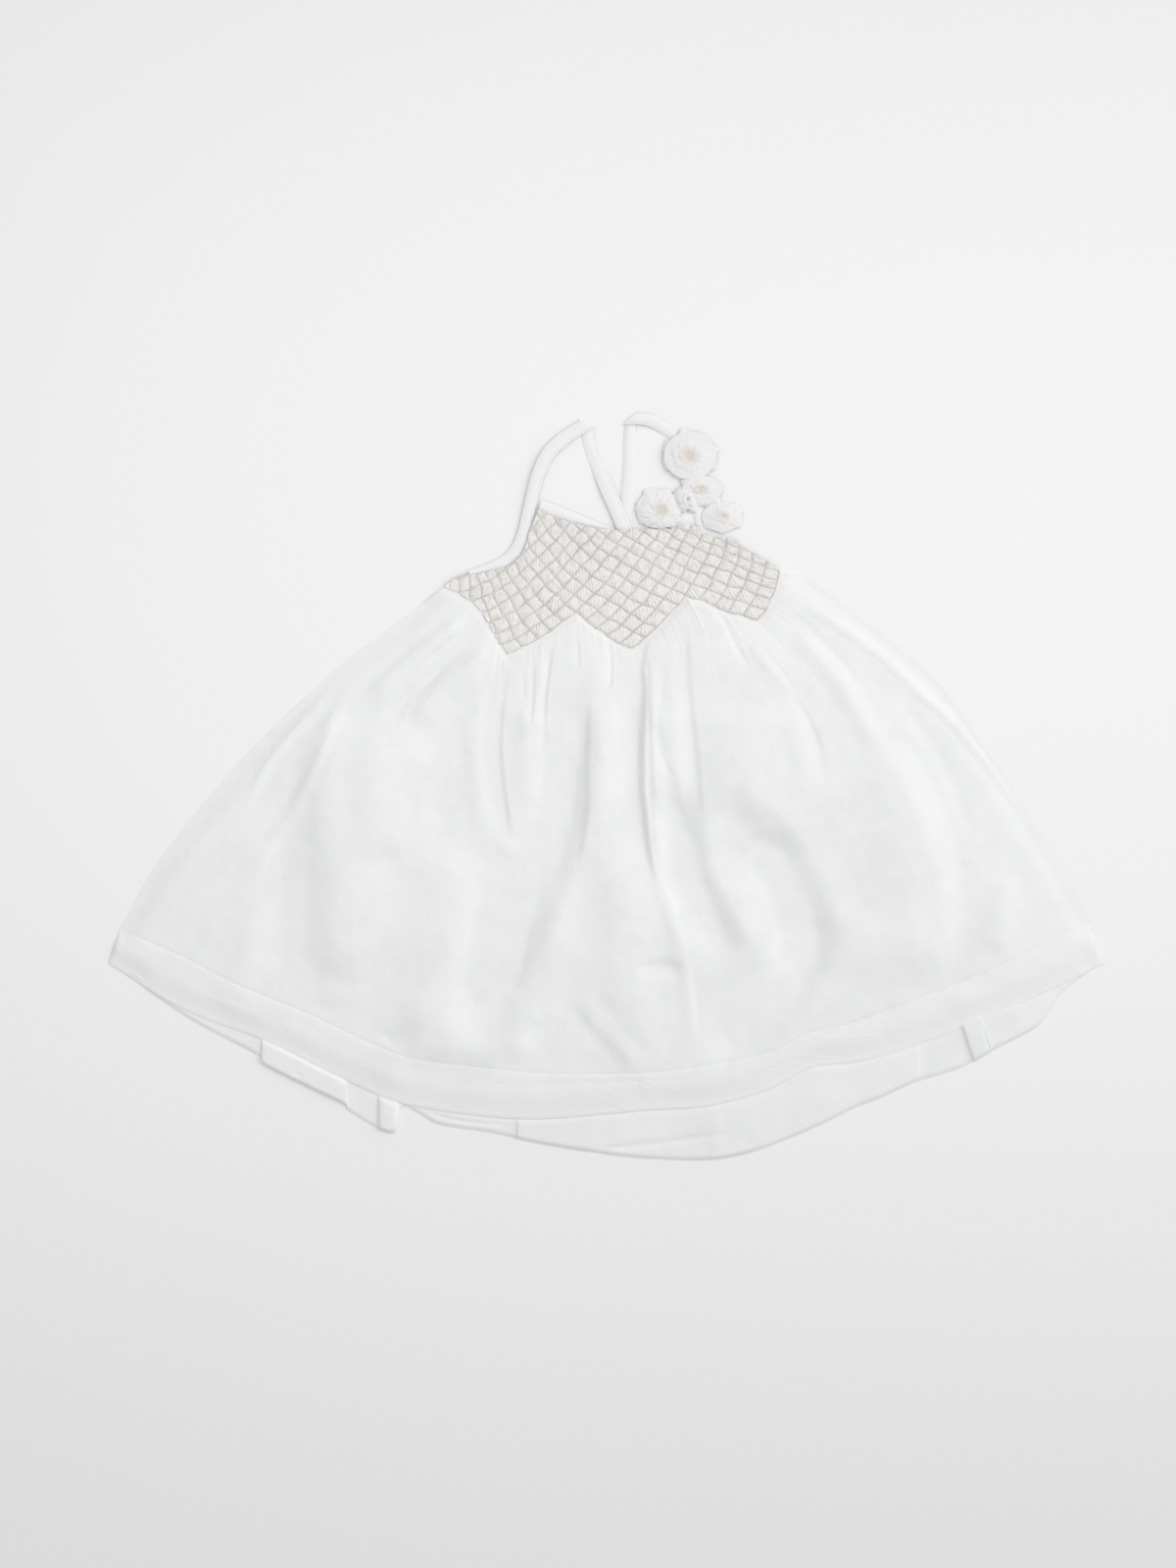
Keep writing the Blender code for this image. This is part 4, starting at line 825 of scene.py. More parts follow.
def skirt_plan(place):
    """The skirt's rows in plan, which of them is sewn, and the lines of that row and of its edge."""
    top = skirt_top(place)
    hem = curve_of(FRONT_HEM)
    fold_line = curve_of(HEM_FOLD_LINE)
    hem_x = [np.array([hem[0, 0]])]
    for reach in SKIRT_FAN:
        hem_x.append(np.linspace(hem_x[-1][-1], reach.hem_x, reach.columns + 1)[1:])
    hem_x = np.concatenate(hem_x)
    edge = np.stack([hem_x, at_x(hem, hem_x)], -1)
    share = (hem_x - hem_x[0]) / (hem_x[-1] - hem_x[0])
    line_x = fold_line[0, 0] + share * (fold_line[-1, 0] - fold_line[0, 0])
    line = np.stack([line_x, at_x(fold_line, line_x)], -1)
    down = (np.arange(SKIRT_ROWS + 1) / SKIRT_ROWS) ** ROW_CROWDING
    down = np.sort(np.concatenate([down, 1 - np.array(ROWS_ABOVE_SEWING) / MEAN_LENGTH]))
    left = at_shares(curve_of(LEFT_SIDE), down)
    right = at_shares(curve_of(RIGHT_SIDE), down)
    left[0], right[0] = top[0], top[-1]
    body = panel(top, line, left, right, down)
    deep = np.linalg.norm(edge - line, axis=1)[:, None]
    way = (edge - line) / deep
    band = [line + way * step for step in ROWS_BELOW_SEWING]
    near = ROWS_BELOW_SEWING[-1]
    band += [line + way * (near + (deep - near) * part / HEM_ROWS) for part in range(1, HEM_ROWS + 1)]
    return np.concatenate([body, band]), len(body) - 1, line, edge


def skirt_height(rows, sewn, line, edge, under_hem, fallen):
    """The skirt's upper face: its folds and gathers, its hem's sewing, and how it settles at its edges."""
    sides = curve_of(LEFT_SIDE, EDGE_STEPS), curve_of(RIGHT_SIDE, EDGE_STEPS)
    from_sides = [np.abs(from_path(rows.reshape(-1, 2), side)[0]) for side in sides]
    from_side = np.minimum(*from_sides).reshape(rows.shape[:2])
    loose = ease(from_side / SWELL_REACH) * ease(fallen / RUMPLE_START)
    from_edge = np.linalg.norm(rows - edge[None], axis=-1)
    full = HEM_SWELL + (1 - HEM_SWELL) * ease(from_edge / HEM_SWELL_REACH)
    full *= TOP_SWELL + (1 - TOP_SWELL) * ease(fallen / TOP_SWELL_REACH)
    to_right = ease((rows[..., 0] + SWELL_REACH) / 2 / SWELL_REACH)
    swell = LEFT_SWELL + (RIGHT_SWELL - LEFT_SWELL) * to_right
    lift = fold_rise(FOLDS, rows) + swell * full * ease(from_side / SWELL_REACH)
    lift += RUMPLE * loose * uneven(rows, RUMPLE_SIZE, seed=4)
    lift += gathers(fallen)
    height = FRONT_TOP + (lift + np.sqrt(lift**2 + SOFTNESS**2)) / 2
    height += CRINKLE * loose * uneven(rows, CRINKLE_SIZE, seed=9)

    past = np.linalg.norm(rows - line[None], axis=-1)
    past[:sewn] *= -1
    height += HEM_STEP * ease(past / HEM_STEP_WIDTH)
    height -= HEM_GROOVE * bell(past, HEM_GROOVE_WIDTH)
    slant = np.stack([reached(line) + PUCKER_SLANT[0] * past, PUCKER_SLANT[1] * past], -1)
    pucker = uneven(slant, HEM_PUCKER_LENGTH, seed=2)
    height += HEM_PUCKER * pucker * np.exp(-np.abs(past) / HEM_PUCKER_REACH)
    height = FRONT_TOP + (height - FRONT_TOP) * ease(fallen / SKIRT_START)
    height = np.maximum(height, FRONT_TOP - DEEPEST)
    settle = HEM_EDGE_SETTLE * (1 - ease(from_edge / HEM_EDGE_REACH))
    edge_height = HEM_END_HEIGHT + (HEM_EDGE_HEIGHT - HEM_END_HEIGHT) * bell(edge[:, 0], HEM_MIDDLE_REACH)
    height -= (height - under_hem - edge_height) * settle
    settle = (1 - ease(from_side / SIDE_REACH)) ** SIDE_FALL * ease(fallen / SIDE_START)
    height -= (height - SIDE_EDGE_HEIGHT) * settle
    return height + fold_rise(SIDE_ROLLS, rows) * ease(from_side / SIDE_ROLL_REACH)


def make_skirt(place, finish):
    """The front's skirt, with its hem and side seams turned, and the line of its hem's sewing."""
    rows, sewn, line, edge = skirt_plan(place)
    back_hem = curve_of(BACK_HEM)
    under_hem = BACK_TOP * ease((edge[:, 1] - at_x(back_hem, edge[:, 0])) / HEM_OVERLAP)
    fallen = np.linalg.norm(rows - rows[:1], axis=-1)
    sheet = np.dstack([rows, skirt_height(rows, sewn, line, edge, under_hem, fallen)])
    cloth = points_of(reached(rows[len(rows) // 2]), fallen)
    under = turned_edge(sheet[-1], sheet[-4], (under_hem - EDGE_SINK)[:, None], HEM_TURN_OUT, TURN_IN)
    sheet = np.concatenate([sheet, under])
    cloth = np.concatenate([cloth] + [cloth[-1:] + (0, step) for step in TURNED_CLOTH])
    turn_out = np.full((len(sheet), 1), SIDE_TURN_OUT)
    turn_out[: len(fallen)] *= ease(fallen[:, :1] / SIDE_TURN_START)
    for first, second, sign in ((0, 2, -1), (-1, -3, 1)):
        spread = -SIDE_SPREAD * turn_out
        under = turned_edge(sheet[:, first], sheet[:, second], SIDE_BOTTOM, turn_out, spread)
        under = [column[:, None] for column in under]
        steps = [cloth[:, [first]] + (sign * step, 0) for step in TURNED_CLOTH]
        sheet = np.concatenate(([sheet] + under)[::sign], axis=1)
        cloth = np.concatenate(([cloth] + steps)[::sign], axis=1)
    sheet[..., 2] = np.maximum(sheet[..., 2], SIDE_BOTTOM)
    seam = sheet[sewn + 2, 3:-3] - (0, 0, STITCH_SINK)
    piece = cloth_mesh("skirt_front", [(sheet, cloth)], finish)
    double = np.zeros(sheet.shape[:2])
    to_right = ease((sheet[sewn + 1 :, :, 0] - DOUBLE_START) / DOUBLE_REACH)
    double[sewn + 1 :] = HEM_LEFT_DOUBLE + (1 - HEM_LEFT_DOUBLE) * to_right
    piece.data.attributes.new("double", "FLOAT", "POINT").data.foreach_set("value", double.ravel())
    smooth(piece)
    return piece, seam


# Smocking


def smocked_cells():
    """The run and rank of every cell."""
    return [
        (run, rank)
        for run in range(FIRST_RUN, LAST_RUN)
        for rank in range(lowest_rank(run), highest_rank(run))
    ]


def make_trim(outline):
    """The outline as a tall block, which keeps what is inside it."""
    count = len(outline)
    points = [(x * MM, y * MM, z * MM) for z in (TRIM_LOW, TRIM_HIGH) for x, y in outline]
    faces = [list(range(count)), list(range(count, 2 * count))]
    for i in range(count):
        after = (i + 1) % count
        faces.append([i, after, count + after, count + i])
    mesh = bpy.data.meshes.new("trim block")
    mesh.from_pydata(points, [], faces)
    with editing(mesh) as shape:
        bmesh.ops.recalc_face_normals(shape, faces=shape.faces)
    return put_in_scene("trim block", mesh)


def make_smocking(place, finish):
    """Puffed cells between the thread lines, each with small pleats, trimmed to the neck and armholes."""
    steps = np.linspace(0, 1, CELL_STEPS + 1)
    u, v = np.meshgrid(steps, steps, indexing="ij")
    puff = (1 - np.abs(2 * u - 1) ** CELL_ROUNDNESS) * (1 - np.abs(2 * v - 1) ** CELL_ROUNDNESS)
    knot = np.abs(2 * u - 1) ** KNOT_SHARPNESS * np.abs(2 * v - 1) ** KNOT_SHARPNESS
    chance = np.random.default_rng(6)
    grids = []
    for run, rank in smocked_cells():
        size, lean_u, lean_v, shift = chance.uniform(-1, 1, 4)
        spot = place(run + u, rank + v)
        across = run + u + rank + v
        bend = PLEAT_BEND * uneven(spot, PLEAT_BEND_SIZE, seed=3)
        phase = 2 * np.pi * PLEATS_PER_CELL * across + PLEAT_SHIFT * shift + bend
        height = CELL_PUFF * (CELL_MEAN + CELL_VARIETY * size) * puff
        height *= 1 + CELL_LEAN * lean_u * (2 * u - 1) + CELL_LEAN * lean_v * (2 * v - 1)
        height += PLEAT_DEPTH * np.cos(phase) * puff**PLEAT_FULLNESS - KNOT_DIP * knot
        height += FRONT_TOP + neck_lift(spot)
        grids.append((np.dstack([spot, height]), np.dstack([run + u, rank + v])))
    piece = cloth_mesh("smocked_top", grids, finish)
    merge_points(piece)
    give_wall(piece, WALL)
    trim = make_trim(smocking_outline(place))
    cut = piece.modifiers.new("Trim", "BOOLEAN")
    cut.operation = "INTERSECT"
    cut.object = trim
    apply(piece, cut)
    bpy.data.objects.remove(trim, do_unlink=True)
    smooth(piece)
    return piece


def thread_lines(place):
    """Each thread's way over the cells, broken where it leaves the cloth."""
    cells = set(smocked_cells())
    outline = smocking_outline(place)
    share = np.arange(THREAD_STEPS + 1) / THREAD_STEPS
    lines = []
    for turn in (1, -1):
        for fixed in range(min(FIRST_RUN, FIRST_RANK), LAST_RANK + 2):
            way = []
            for moving in range(min(FIRST_RUN, FIRST_RANK), LAST_RANK + 1):
                beside = [(moving, fixed)[::turn], (moving, fixed - 1)[::turn]]
                if not cells.intersection(beside):
                    lines.append(way)
                    way = []
                    continue
                for part in share[:-1]:
                    spot = (moving + part, fixed)[::turn]
                    if inside(place(*spot), outline):
                        way.append(spot)
                    else:
                        lines.append(way)
                        way = []
            lines.append(way)
    return [np.array(way) for way in lines if len(way) >= THREAD_STEPS // 2]


def make_threads(place, finish):
    """Thread lying over the valleys between the cells, as thin tubes."""
    curve = bpy.data.curves.new("smocking_threads", "CURVE")
    curve.dimensions = "3D"
    curve.bevel_depth = THREAD_RADIUS * MM
    curve.bevel_resolution = THREAD_BEVEL
    curve.use_fill_caps = True
    chance = np.random.default_rng(15)
    lines = [place(way[:, 0], way[:, 1]) for way in thread_lines(place)]
    lines += [scalloped(stations, EDGE_THREAD_INSET) for stations in (RIGHT_ARMHOLE, NECK_MIDDLE)]
    for spots in lines:
        spots = spots + THREAD_WANDER * astray(spots, THREAD_WANDER_SIZE, seed=31)
        height = FRONT_TOP + THREAD_HEIGHT + neck_lift(spots)
        height = height + THREAD_SINK * uneven(spots, THREAD_SINK_SIZE, seed=33)
        from_end = np.minimum(np.arange(len(spots)), np.arange(len(spots))[::-1])
        radii = chance.uniform(*THREAD_RADII, len(spots)) + THREAD_END_SWELL * (from_end < 2)
        spline = curve.splines.new("POLY")
        spline.points.add(len(spots) - 1)
        for point, spot, z, radius in zip(spline.points, spots, height, radii):
            point.co = (spot[0] * MM, spot[1] * MM, z * MM, 1)
            point.radius = radius
    curve.materials.append(finish)
    piece = put_in_scene("smocking_threads", curve)
    select_only(piece)
    bpy.ops.object.convert(target="MESH")
    piece.data.shade_smooth()
    return piece


# Back


def around(grid):
    """The values along a grid's border, in order."""
    return np.concatenate([grid[0, :-1], grid[:-1, -1], grid[-1, :0:-1], grid[:0:-1, 0]])


def make_back(finish):
    """The back panel: flat where it rests, with its hem's rolled folds where they show."""
    stations = smooth_curve([(station.x, station.y, station.top) for station in BACK_HEM], BACK_HEM_STEPS)
    hem, tops = stations[:, :2], np.maximum(stations[:, 2], BACK_TOP)
    front = at_x(curve_of(FRONT_HEM), hem[:, 0])
    shown = ease((front - hem[:, 1]) / HEM_SHOWN)
    tops = BACK_TOP + (tops - BACK_TOP) * shown * BACK_FOLD_SHARE
    covered = np.stack([hem[:, 0], np.maximum(front, hem[:, 1]) + HEM_COVER], -1)
    from_left = (hem[:, 0] + BACK_REACH) / HEM_COVER_REACH
    from_right = (BACK_REACH - hem[:, 0]) / HEM_COVER_REACH
    covered[:, 0] += HEM_COVER_INSET * (np.exp(-from_left) - np.exp(-from_right))
    covered[:, 0] -= RIGHT_LAP_SLANT * bell(hem[:, 0] - RIGHT_LAP_X, RIGHT_LAP_REACH)
    share = (hem[:, 0] - hem[0, 0]) / (hem[-1, 0] - hem[0, 0])
    neckline = at_shares(curve_of(BACK_NECKLINE), share)
    down = np.arange(BACK_ROWS + 1) / BACK_ROWS
    left = at_shares(curve_of(LEFT_SIDE), down) + (BACK_INSET, -BACK_INSET)
    right = at_shares(curve_of(RIGHT_SIDE), down) - (BACK_INSET, BACK_INSET)
    left[0], left[-1] = neckline[0], covered[0]
    right[0], right[-1] = neckline[-1], covered[-1]
    body = panel(neckline, covered, left, right, down)
    part = (1 - np.arange(1, BACK_HEM_ROWS + 1) / BACK_HEM_ROWS) ** BACK_HEM_CROWDING
    strip = hem[None] + (covered - hem)[None] * part[:, None, None]
    rows = np.concatenate([body, strip])

    from_front = front[None] - rows[..., 1]
    from_edge = np.linalg.norm(rows - hem[None], axis=-1)
    from_side = np.minimum(rows[..., 0] - rows[:, :1, 0], rows[:, -1:, 0] - rows[..., 0])
    thin = (1 - ease(from_side / BACK_SIDE_REACH)) * ease((BACK_SIDE_TOP - rows[..., 1]) / BACK_SIDE_FADE)
    height = BACK_TOP - (BACK_TOP - BACK_SIDE_HEIGHT) * thin
    height += (tops - BACK_TOP)[None] * ease(from_front / BACK_RISE)
    out = ease((from_front - BACK_FOLD_START) / BACK_FOLD_REACH)
    height += out * (fold_rise(BACK_FOLDS, rows) + BACK_RUMPLE * uneven(rows, BACK_RUMPLE_SIZE, seed=14))
    height = np.maximum(height * ease(from_edge / BACK_EDGE) ** BACK_EDGE_FULLNESS, BACK_LEAST)
    outer = np.dstack([rows, height])
    cloth = points_of(hem[:, 0], np.linalg.norm(rows - rows[:1], axis=-1))
    inner = np.dstack([rows, np.zeros(height.shape)])[:, ::-1]
    piece = cloth_mesh("back_panel", [(outer, cloth), (inner, cloth[:, ::-1])], finish)
    index = np.arange(height.size).reshape(height.shape)
    top, bottom = around(index), around(index[:, ::-1] + height.size)
    with editing(piece.data) as shape:
        shape.verts.ensure_lookup_table()
        for corners in np.stack([top, np.roll(top, -1), np.roll(bottom, -1), bottom], -1).tolist():
            shape.faces.new([shape.verts[i] for i in corners])
        bmesh.ops.recalc_face_normals(shape, faces=shape.faces)
    smooth(piece)
    return piece


# Strips


def unit(vector):
    return vector / np.linalg.norm(vector)


def strip_frames(strips, thickness, turned):
    """Centre, half width and half thickness of each section. A turned strip shows its other face."""
    centres = plan(strips)
    along = np.gradient(centres, axis=0)
    frames = []
    for strip, centre, way in zip(strips, centres, along):
        way = unit(way)
        right = np.array([way[1], -way[0], 0.0]) * (-1 if turned else 1)
        up = np.array([0, 0, -1.0 if turned else 1.0])
        middle = np.array([centre[0], centre[1], strip.underside + thickness / 2])
        frames.append(np.concatenate([middle, right * (strip.width / 2 + STRIP_SPREAD), up * thickness / 2]))
    return frames


def fold_frames(before, fold, after, thickness):
    """Three sections that turn a flat strip over at a fold and send it another way."""
    centre = np.array([fold.x, fold.y], float)
    arrive = unit(centre - (before.x, before.y))
    leave = unit(np.array([after.x, after.y]) - centre)
    outward = unit(arrive - leave)
    crease = unit(arrive + leave)
    if crease @ (arrive[1], -arrive[0]) < 0:
        crease = -crease
    slant = abs(crease @ (arrive[1], -arrive[0]))
    width = np.append(crease * fold.width / 2 / slant, 0.0)
    half = thickness / 2
    upper = np.array([centre[0], centre[1], fold.underside + half])
    lower = np.array([centre[0], centre[1], half])
    out = np.append(outward, 0.0)
    middle = (upper + lower) / 2 + out * (half + SEAM_GAP)
    up = np.array([0, 0, half])
    return [
        np.concatenate([upper, width, up]),
        np.concatenate([middle, width, out * half]),
        np.concatenate([lower, width, -up]),
    ]


def make_strip(name, frames, sewn_sides, finish):
    """A folded bias strip through its sections, soft at its edges, and the lines of its sewing."""
    frames = smooth_curve(np.array(frames), STRIP_STEPS)
    centre, right, up = frames[:, :3], frames[:, 3:6], frames[:, 6:]
    length = reached(centre)
    turn = 2 * np.pi * np.arange(STRIP_SIDES + 1) / STRIP_SIDES
    across = np.cos(turn)
    over = np.sign(np.sin(turn)) * np.abs(np.sin(turn)) ** STRIP_FULLNESS
    groove = sum(bell(across - side * SEWN_AT, STRIP_GROOVE_WIDTH) for side in sewn_sides)
    upwards = (up[:, 2] / np.linalg.norm(up, axis=1))[:, None]
    raised = np.where(upwards > 0, 2 * np.maximum(over, 0) - 1, 2 * np.minimum(over, 0) + 1)
    rise = (1 - np.abs(upwards)) * over + np.abs(upwards) * raised
    rise = rise - STRIP_GROOVE * groove * (over * upwards > 0) * upwards
    wave = STRIP_WAVE * uneven(np.stack([length, np.zeros(len(length))], -1), STRIP_WAVE_SIZE, seed=40)
    rise = rise + wave[:, None] * np.abs(over) * upwards
    points = centre[:, None] + across[None, :, None] * right[:, None] + rise[..., None] * up[:, None]
    points[..., 2] = np.maximum(points[..., 2], LEAST_HEIGHT)
    half_width = np.linalg.norm(right, axis=1)
    around_strip = np.where(over > 0, across, STRIP_BELOW - across) * half_width[:, None]
    piece = cloth_mesh(name, [(points, points_of(around_strip, length[:, None]))], finish)
    merge_points(piece, 0.001)
    with editing(piece.data) as shape:
        ends = [edge for edge in shape.edges if edge.is_boundary]
        bmesh.ops.holes_fill(shape, edges=ends, sides=STRIP_SIDES)
        bmesh.ops.recalc_face_normals(shape, faces=shape.faces)
    smooth(piece)
    lines = [centre + side * SEWN_AT * right + STITCH_AT * up * upwards for side in sewn_sides]
    return piece, lines


def strap_frames(front, fold, back):
    return (
        strip_frames(front, STRAP_THICKNESS, turned=False)
        + fold_frames(front[-1], fold, back[0], STRAP_THICKNESS)
        + strip_frames(back, STRAP_THICKNESS, turned=True)
    )


# Flowers


def petal(flower, whorl, number, chance):
    """One petal: it rises from the flower's hollow heart to a crest and sinks to its rim."""
    size, angle_shift, rise, phase = chance.uniform(-1, 1, 4) * flower.jitter
    angle = whorl.turn + 2 * np.pi * number / whorl.petals + TURN_VARIETY * angle_shift
    u = np.linspace(0, 1, PETAL_ROWS)[:, None]
    v = np.linspace(-1, 1, PETAL_COLUMNS)[None]
    reach = whorl.reach * (1 + REACH_VARIETY * size)
    tip = 1 - PETAL_ROUNDNESS * np.abs(v) ** PETAL_SQUARENESS
    radius = whorl.start + (reach * tip - whorl.start) * u
    width = PETAL_FOOT + PETAL_BELLY * np.sin(np.pi * np.minimum(u * PETAL_NARROWING, 1))
    spread = np.pi / whorl.petals * whorl.spread * width
    way = angle + v * spread
    crest = whorl.crest + CREST_VARIETY * rise
    control = 2 * crest - (whorl.low + whorl.rim) / 2
    height = (1 - u) ** 2 * whorl.low + 2 * u * (1 - u) * control + u**2 * whorl.rim
    tilt = PETAL_FOOT_TILT + (1 - PETAL_FOOT_TILT) * u
    height = height - PETAL_CUP * v**2 * u + PETAL_OVERLAP_RISE * v * tilt
    height = height + whorl.ruffle * u**2 * np.sin(RUFFLES * v + RUFFLE_SHIFT * phase)
    pleats = GATHER_PLEAT_DEPTH * np.sin(GATHER_PLEATS * v + GATHER_PLEAT_SHIFT * phase)
    height = height + pleats * (1 - GATHER_PLEAT_FADE * u)
    radius = radius + RIM_WAVE * np.sin(RIM_WAVES * v + RIM_SHIFT * phase) * u
    shift = 1 - u
    points = points_of(
        flower.x + radius * flower.half_width * np.cos(way) + flower.heart[0] * shift,
        flower.y + radius * flower.half_depth * np.sin(way) + flower.heart[1] * shift,
        flower.underside * (1 - PETAL_UNDERSIDE_FALL * u**3) + np.maximum(height, PETAL_LEAST),
    )
    return points[::-1], points_of(radius, (v + 1) / 2 + number)[::-1]


def flower_parts(flower):
    """The flower and the crumpled tufts beside it, each laid out like a flower."""
    return [flower] + [flower._replace(heart=(0, 0), **tuft._asdict()) for tuft in flower.tufts]


def make_flower(flower, finish):
    """The petals of a flower and its tufts over a closed heart, as one piece of cloth."""
    chance = np.random.default_rng(flower.seed)
    grids = []
    for part in flower_parts(flower):
        from_heart = 0 if part is flower else 1
        for whorl in part.whorls:
            for number in range(whorl.petals):
                grid, place = petal(part, whorl, number, chance)
                grids.append((grid, place + (from_heart, 0)))
    turn = np.linspace(0, 2 * np.pi, HEART_STEPS + 1)
    share = np.linspace(*HEART_RADII, HEART_ROWS)[:, None]
    dome = flower.whorls[0].low * (1 - share**2) ** HEART_FULLNESS
    heart = points_of(
        flower.x + share * flower.half_width * np.cos(turn) + flower.heart[0] * (1 - share),
        flower.y + share * flower.half_depth * np.sin(turn) + flower.heart[1] * (1 - share),
        flower.underside + HEART_HEIGHT + dome + HEART_PUCKER * np.sin(HEART_PUCKERS * turn) * share,
    )
    grids.append((heart[::-1], points_of(share, turn)[::-1]))
    piece = cloth_mesh(flower.name + "_petals", grids, finish)
    give_wall(piece, PETAL_WALL)
    smooth(piece)
    return piece


def petal_cut(flower):
    """The square of cloth that a flower's petals are cut from, in metres."""
    spread = sum(part.half_width * part.half_depth for part in flower_parts(flower))
    side = PETAL_CUT_SIDE * math.sqrt(spread) * MM
    return side, side


# Sewing


def make_stitch():
    """One stitch, a small rounded grain of thread along X."""
    bpy.ops.object.select_all(action="DESELECT")
    bpy.ops.mesh.primitive_uv_sphere_add(segments=6, ring_count=5, radius=STITCH_RADIUS * MM)
    stitch = bpy.context.object
    bpy.ops.object.mode_set(mode="EDIT")
    bpy.ops.mesh.select_all(action="SELECT")
    bpy.ops.transform.rotate(value=math.pi / 2, orient_axis="Y", center_override=(0, 0, 0))
    bpy.ops.transform.resize(value=(STITCH_LENGTH / 2 / STITCH_RADIUS, 1, STITCH_FLATNESS))
    bpy.ops.object.mode_set(mode="OBJECT")
    bpy.ops.object.shade_smooth()
    return stitch


def sew(name, stitch, lines, finish):
    """Copies of the stitch along the lines, as one piece."""
    copies = []
    for line in lines:
        count = int(steps_of(line).sum() / STITCH_PITCH)
        shares = (np.arange(count) + 0.5) / count
        spots = at_shares(line, shares)
        ways = at_shares(line, shares + STITCH_WAY) - at_shares(line, shares - STITCH_WAY)
        for spot, way in zip(spots, ways):
            copy = put_in_scene(name, stitch.data.copy())
            turn = Vector(way).to_track_quat("X", "Z").to_matrix().to_4x4()
            copy.data.transform(Matrix.Translation(Vector(spot * MM)) @ turn)
            copies.append(copy)
    bpy.ops.object.select_all(action="DESELECT")
    for copy in copies:
        copy.select_set(True)
    bpy.context.view_layer.objects.active = copies[0]
    bpy.ops.object.join()
    piece = bpy.context.object
    piece.name = piece.data.name = name
    piece.data.materials.clear()
    piece.data.materials.append(finish)
    return piece


# Finishes


class Value:
    """A number in a finish, with ordinary arithmetic."""

    def __init__(self, finish, socket):
        self.finish = finish
        self.socket = socket

    def math(self, operation, first, second=None):
        inputs = {0: first} if second is None else {0: first, 1: second}
        return self.finish.make("ShaderNodeMath", {"operation": operation}, inputs)

    def __add__(self, other):
        return self.math("ADD", self, other)

    def __radd__(self, other):
        return self.math("ADD", other, self)

    def __sub__(self, other):
        return self.math("SUBTRACT", self, other)

    def __rsub__(self, other):
        return self.math("SUBTRACT", other, self)

    def __mul__(self, other):
        return self.math("MULTIPLY", self, other)

    def __rmul__(self, other):
        return self.math("MULTIPLY", other, self)

    def sine(self):
        return self.math("SINE", self)

    def fraction(self):
        return self.math("FRACT", self)

    def size(self):
        return self.math("ABSOLUTE", self)

    def least(self, other):
        return self.math("MINIMUM", self, other)

    def between(self, low, high):
        """From 0 at low to 1 at high, softly."""
        settings = {"interpolation_type": "SMOOTHSTEP"}
        return self.finish.make("ShaderNodeMapRange", settings, {0: self, 1: low, 2: high}, "Result")


class Finish:
    """A cloth or thread finish: its material, and one way to make any node in it."""

    def __init__(self, name, roughness=0.9, sheen=0.12):
        self.material = bpy.data.materials.new(name)
        self.material.use_nodes = True
        self.tree = self.material.node_tree
        self.shader = self.tree.nodes["Principled BSDF"]
        self.shader.inputs["Roughness"].default_value = roughness
        self.shader.inputs["Sheen Weight"].default_value = sheen
        self.shader.inputs["Sheen Roughness"].default_value = 0.5
        self.shader.inputs["Specular IOR Level"].default_value = 0.2

    def make(self, kind, settings, inputs, output=0):
        node = self.tree.nodes.new(kind)
        for name, value in settings.items():
            setattr(node, name, value)
        for name, value in inputs.items():
            if isinstance(value, Value):
                self.tree.links.new(value.socket, node.inputs[name])
            else:
                node.inputs[name].default_value = value
        return Value(self, node.outputs[output])

    def give(self, name, value):
        self.tree.links.new(value.socket, self.shader.inputs[name])

    def place(self):
        """The place on the piece, in millimetres."""
        spot = self.make("ShaderNodeTexCoord", {}, {}, "Object")
        inputs = {0: spot, "Scale": 1 / MM}
        return self.make("ShaderNodeVectorMath", {"operation": "SCALE"}, inputs, "Vector")

    def uv(self):
        return self.make("ShaderNodeUVMap", {"uv_map": "cloth"}, {}, "UV")

    def parts(self, vector):
        node = self.make("ShaderNodeSeparateXYZ", {}, {0: vector}).socket.node
        return [Value(self, socket) for socket in node.outputs]

    def stretched(self, vector, across, along):
        inputs = {"Vector": vector, "Scale": (1 / across, 1 / along, 1 / across)}
        return self.make("ShaderNodeMapping", {}, inputs, "Vector")

    def noise(self, vector, size=1.0, detail=2.0):
        inputs = {"Vector": vector, "Scale": 1 / size, "Detail": detail, "Roughness": 0.55}
        return self.make("ShaderNodeTexNoise", {}, inputs, "Fac")

    def mix(self, share, first, second):
        settings = {"data_type": "RGBA"}
        return self.make("ShaderNodeMix", settings, {0: share, 6: first, 7: second}, 2)

    def raise_by(self, height, strength=0.8):
        """Bumps of that height in millimetres."""
        inputs = {"Height": height, "Strength": strength, "Distance": MM}
        self.give("Normal", self.make("ShaderNodeBump", {}, inputs, "Normal"))


def weave(x, y, thread):
    """A plain weave: threads over and under each other."""
    turn = 2 * math.pi / thread
    return (x * turn).sine() * (y * turn).sine()


WEAVE_HEIGHT = 0.05  # of the cloth's threads, in millimetres
COTTON_THREAD = 0.9  # from one thread to the next but one
WHITE = (0.846, 0.848, 0.853, 1.0)
WHITE_SHADE = (0.812, 0.815, 0.823, 1.0)
WHITE_DOUBLE = (0.849, 0.850, 0.856, 1.0)
CREAM = (0.824, 0.815, 0.807, 1.0)
# darker cream: random tone, and painted shade with a beige tint in the smocking's valleys
CREAM_TONE_AND_PAINTED_SHADE = (0.768, 0.750, 0.722, 1.0)
PETAL = (0.816, 0.814, 0.813, 1.0)
# beige of the flower's heart, darkened as painted shade for its hollow
HEART_TINT_AND_SHADE = (0.74, 0.70, 0.645, 1.0)
THREAD_PALE = (0.78, 0.735, 0.665, 1.0)
THREAD_DEEP = (0.66, 0.605, 0.52, 1.0)
SEWING = (0.80, 0.80, 0.81, 1.0)
TABLE_PALE = (0.872, 0.870, 0.876, 1.0)
TABLE_DEEP = (0.86, 0.86, 0.868, 1.0)


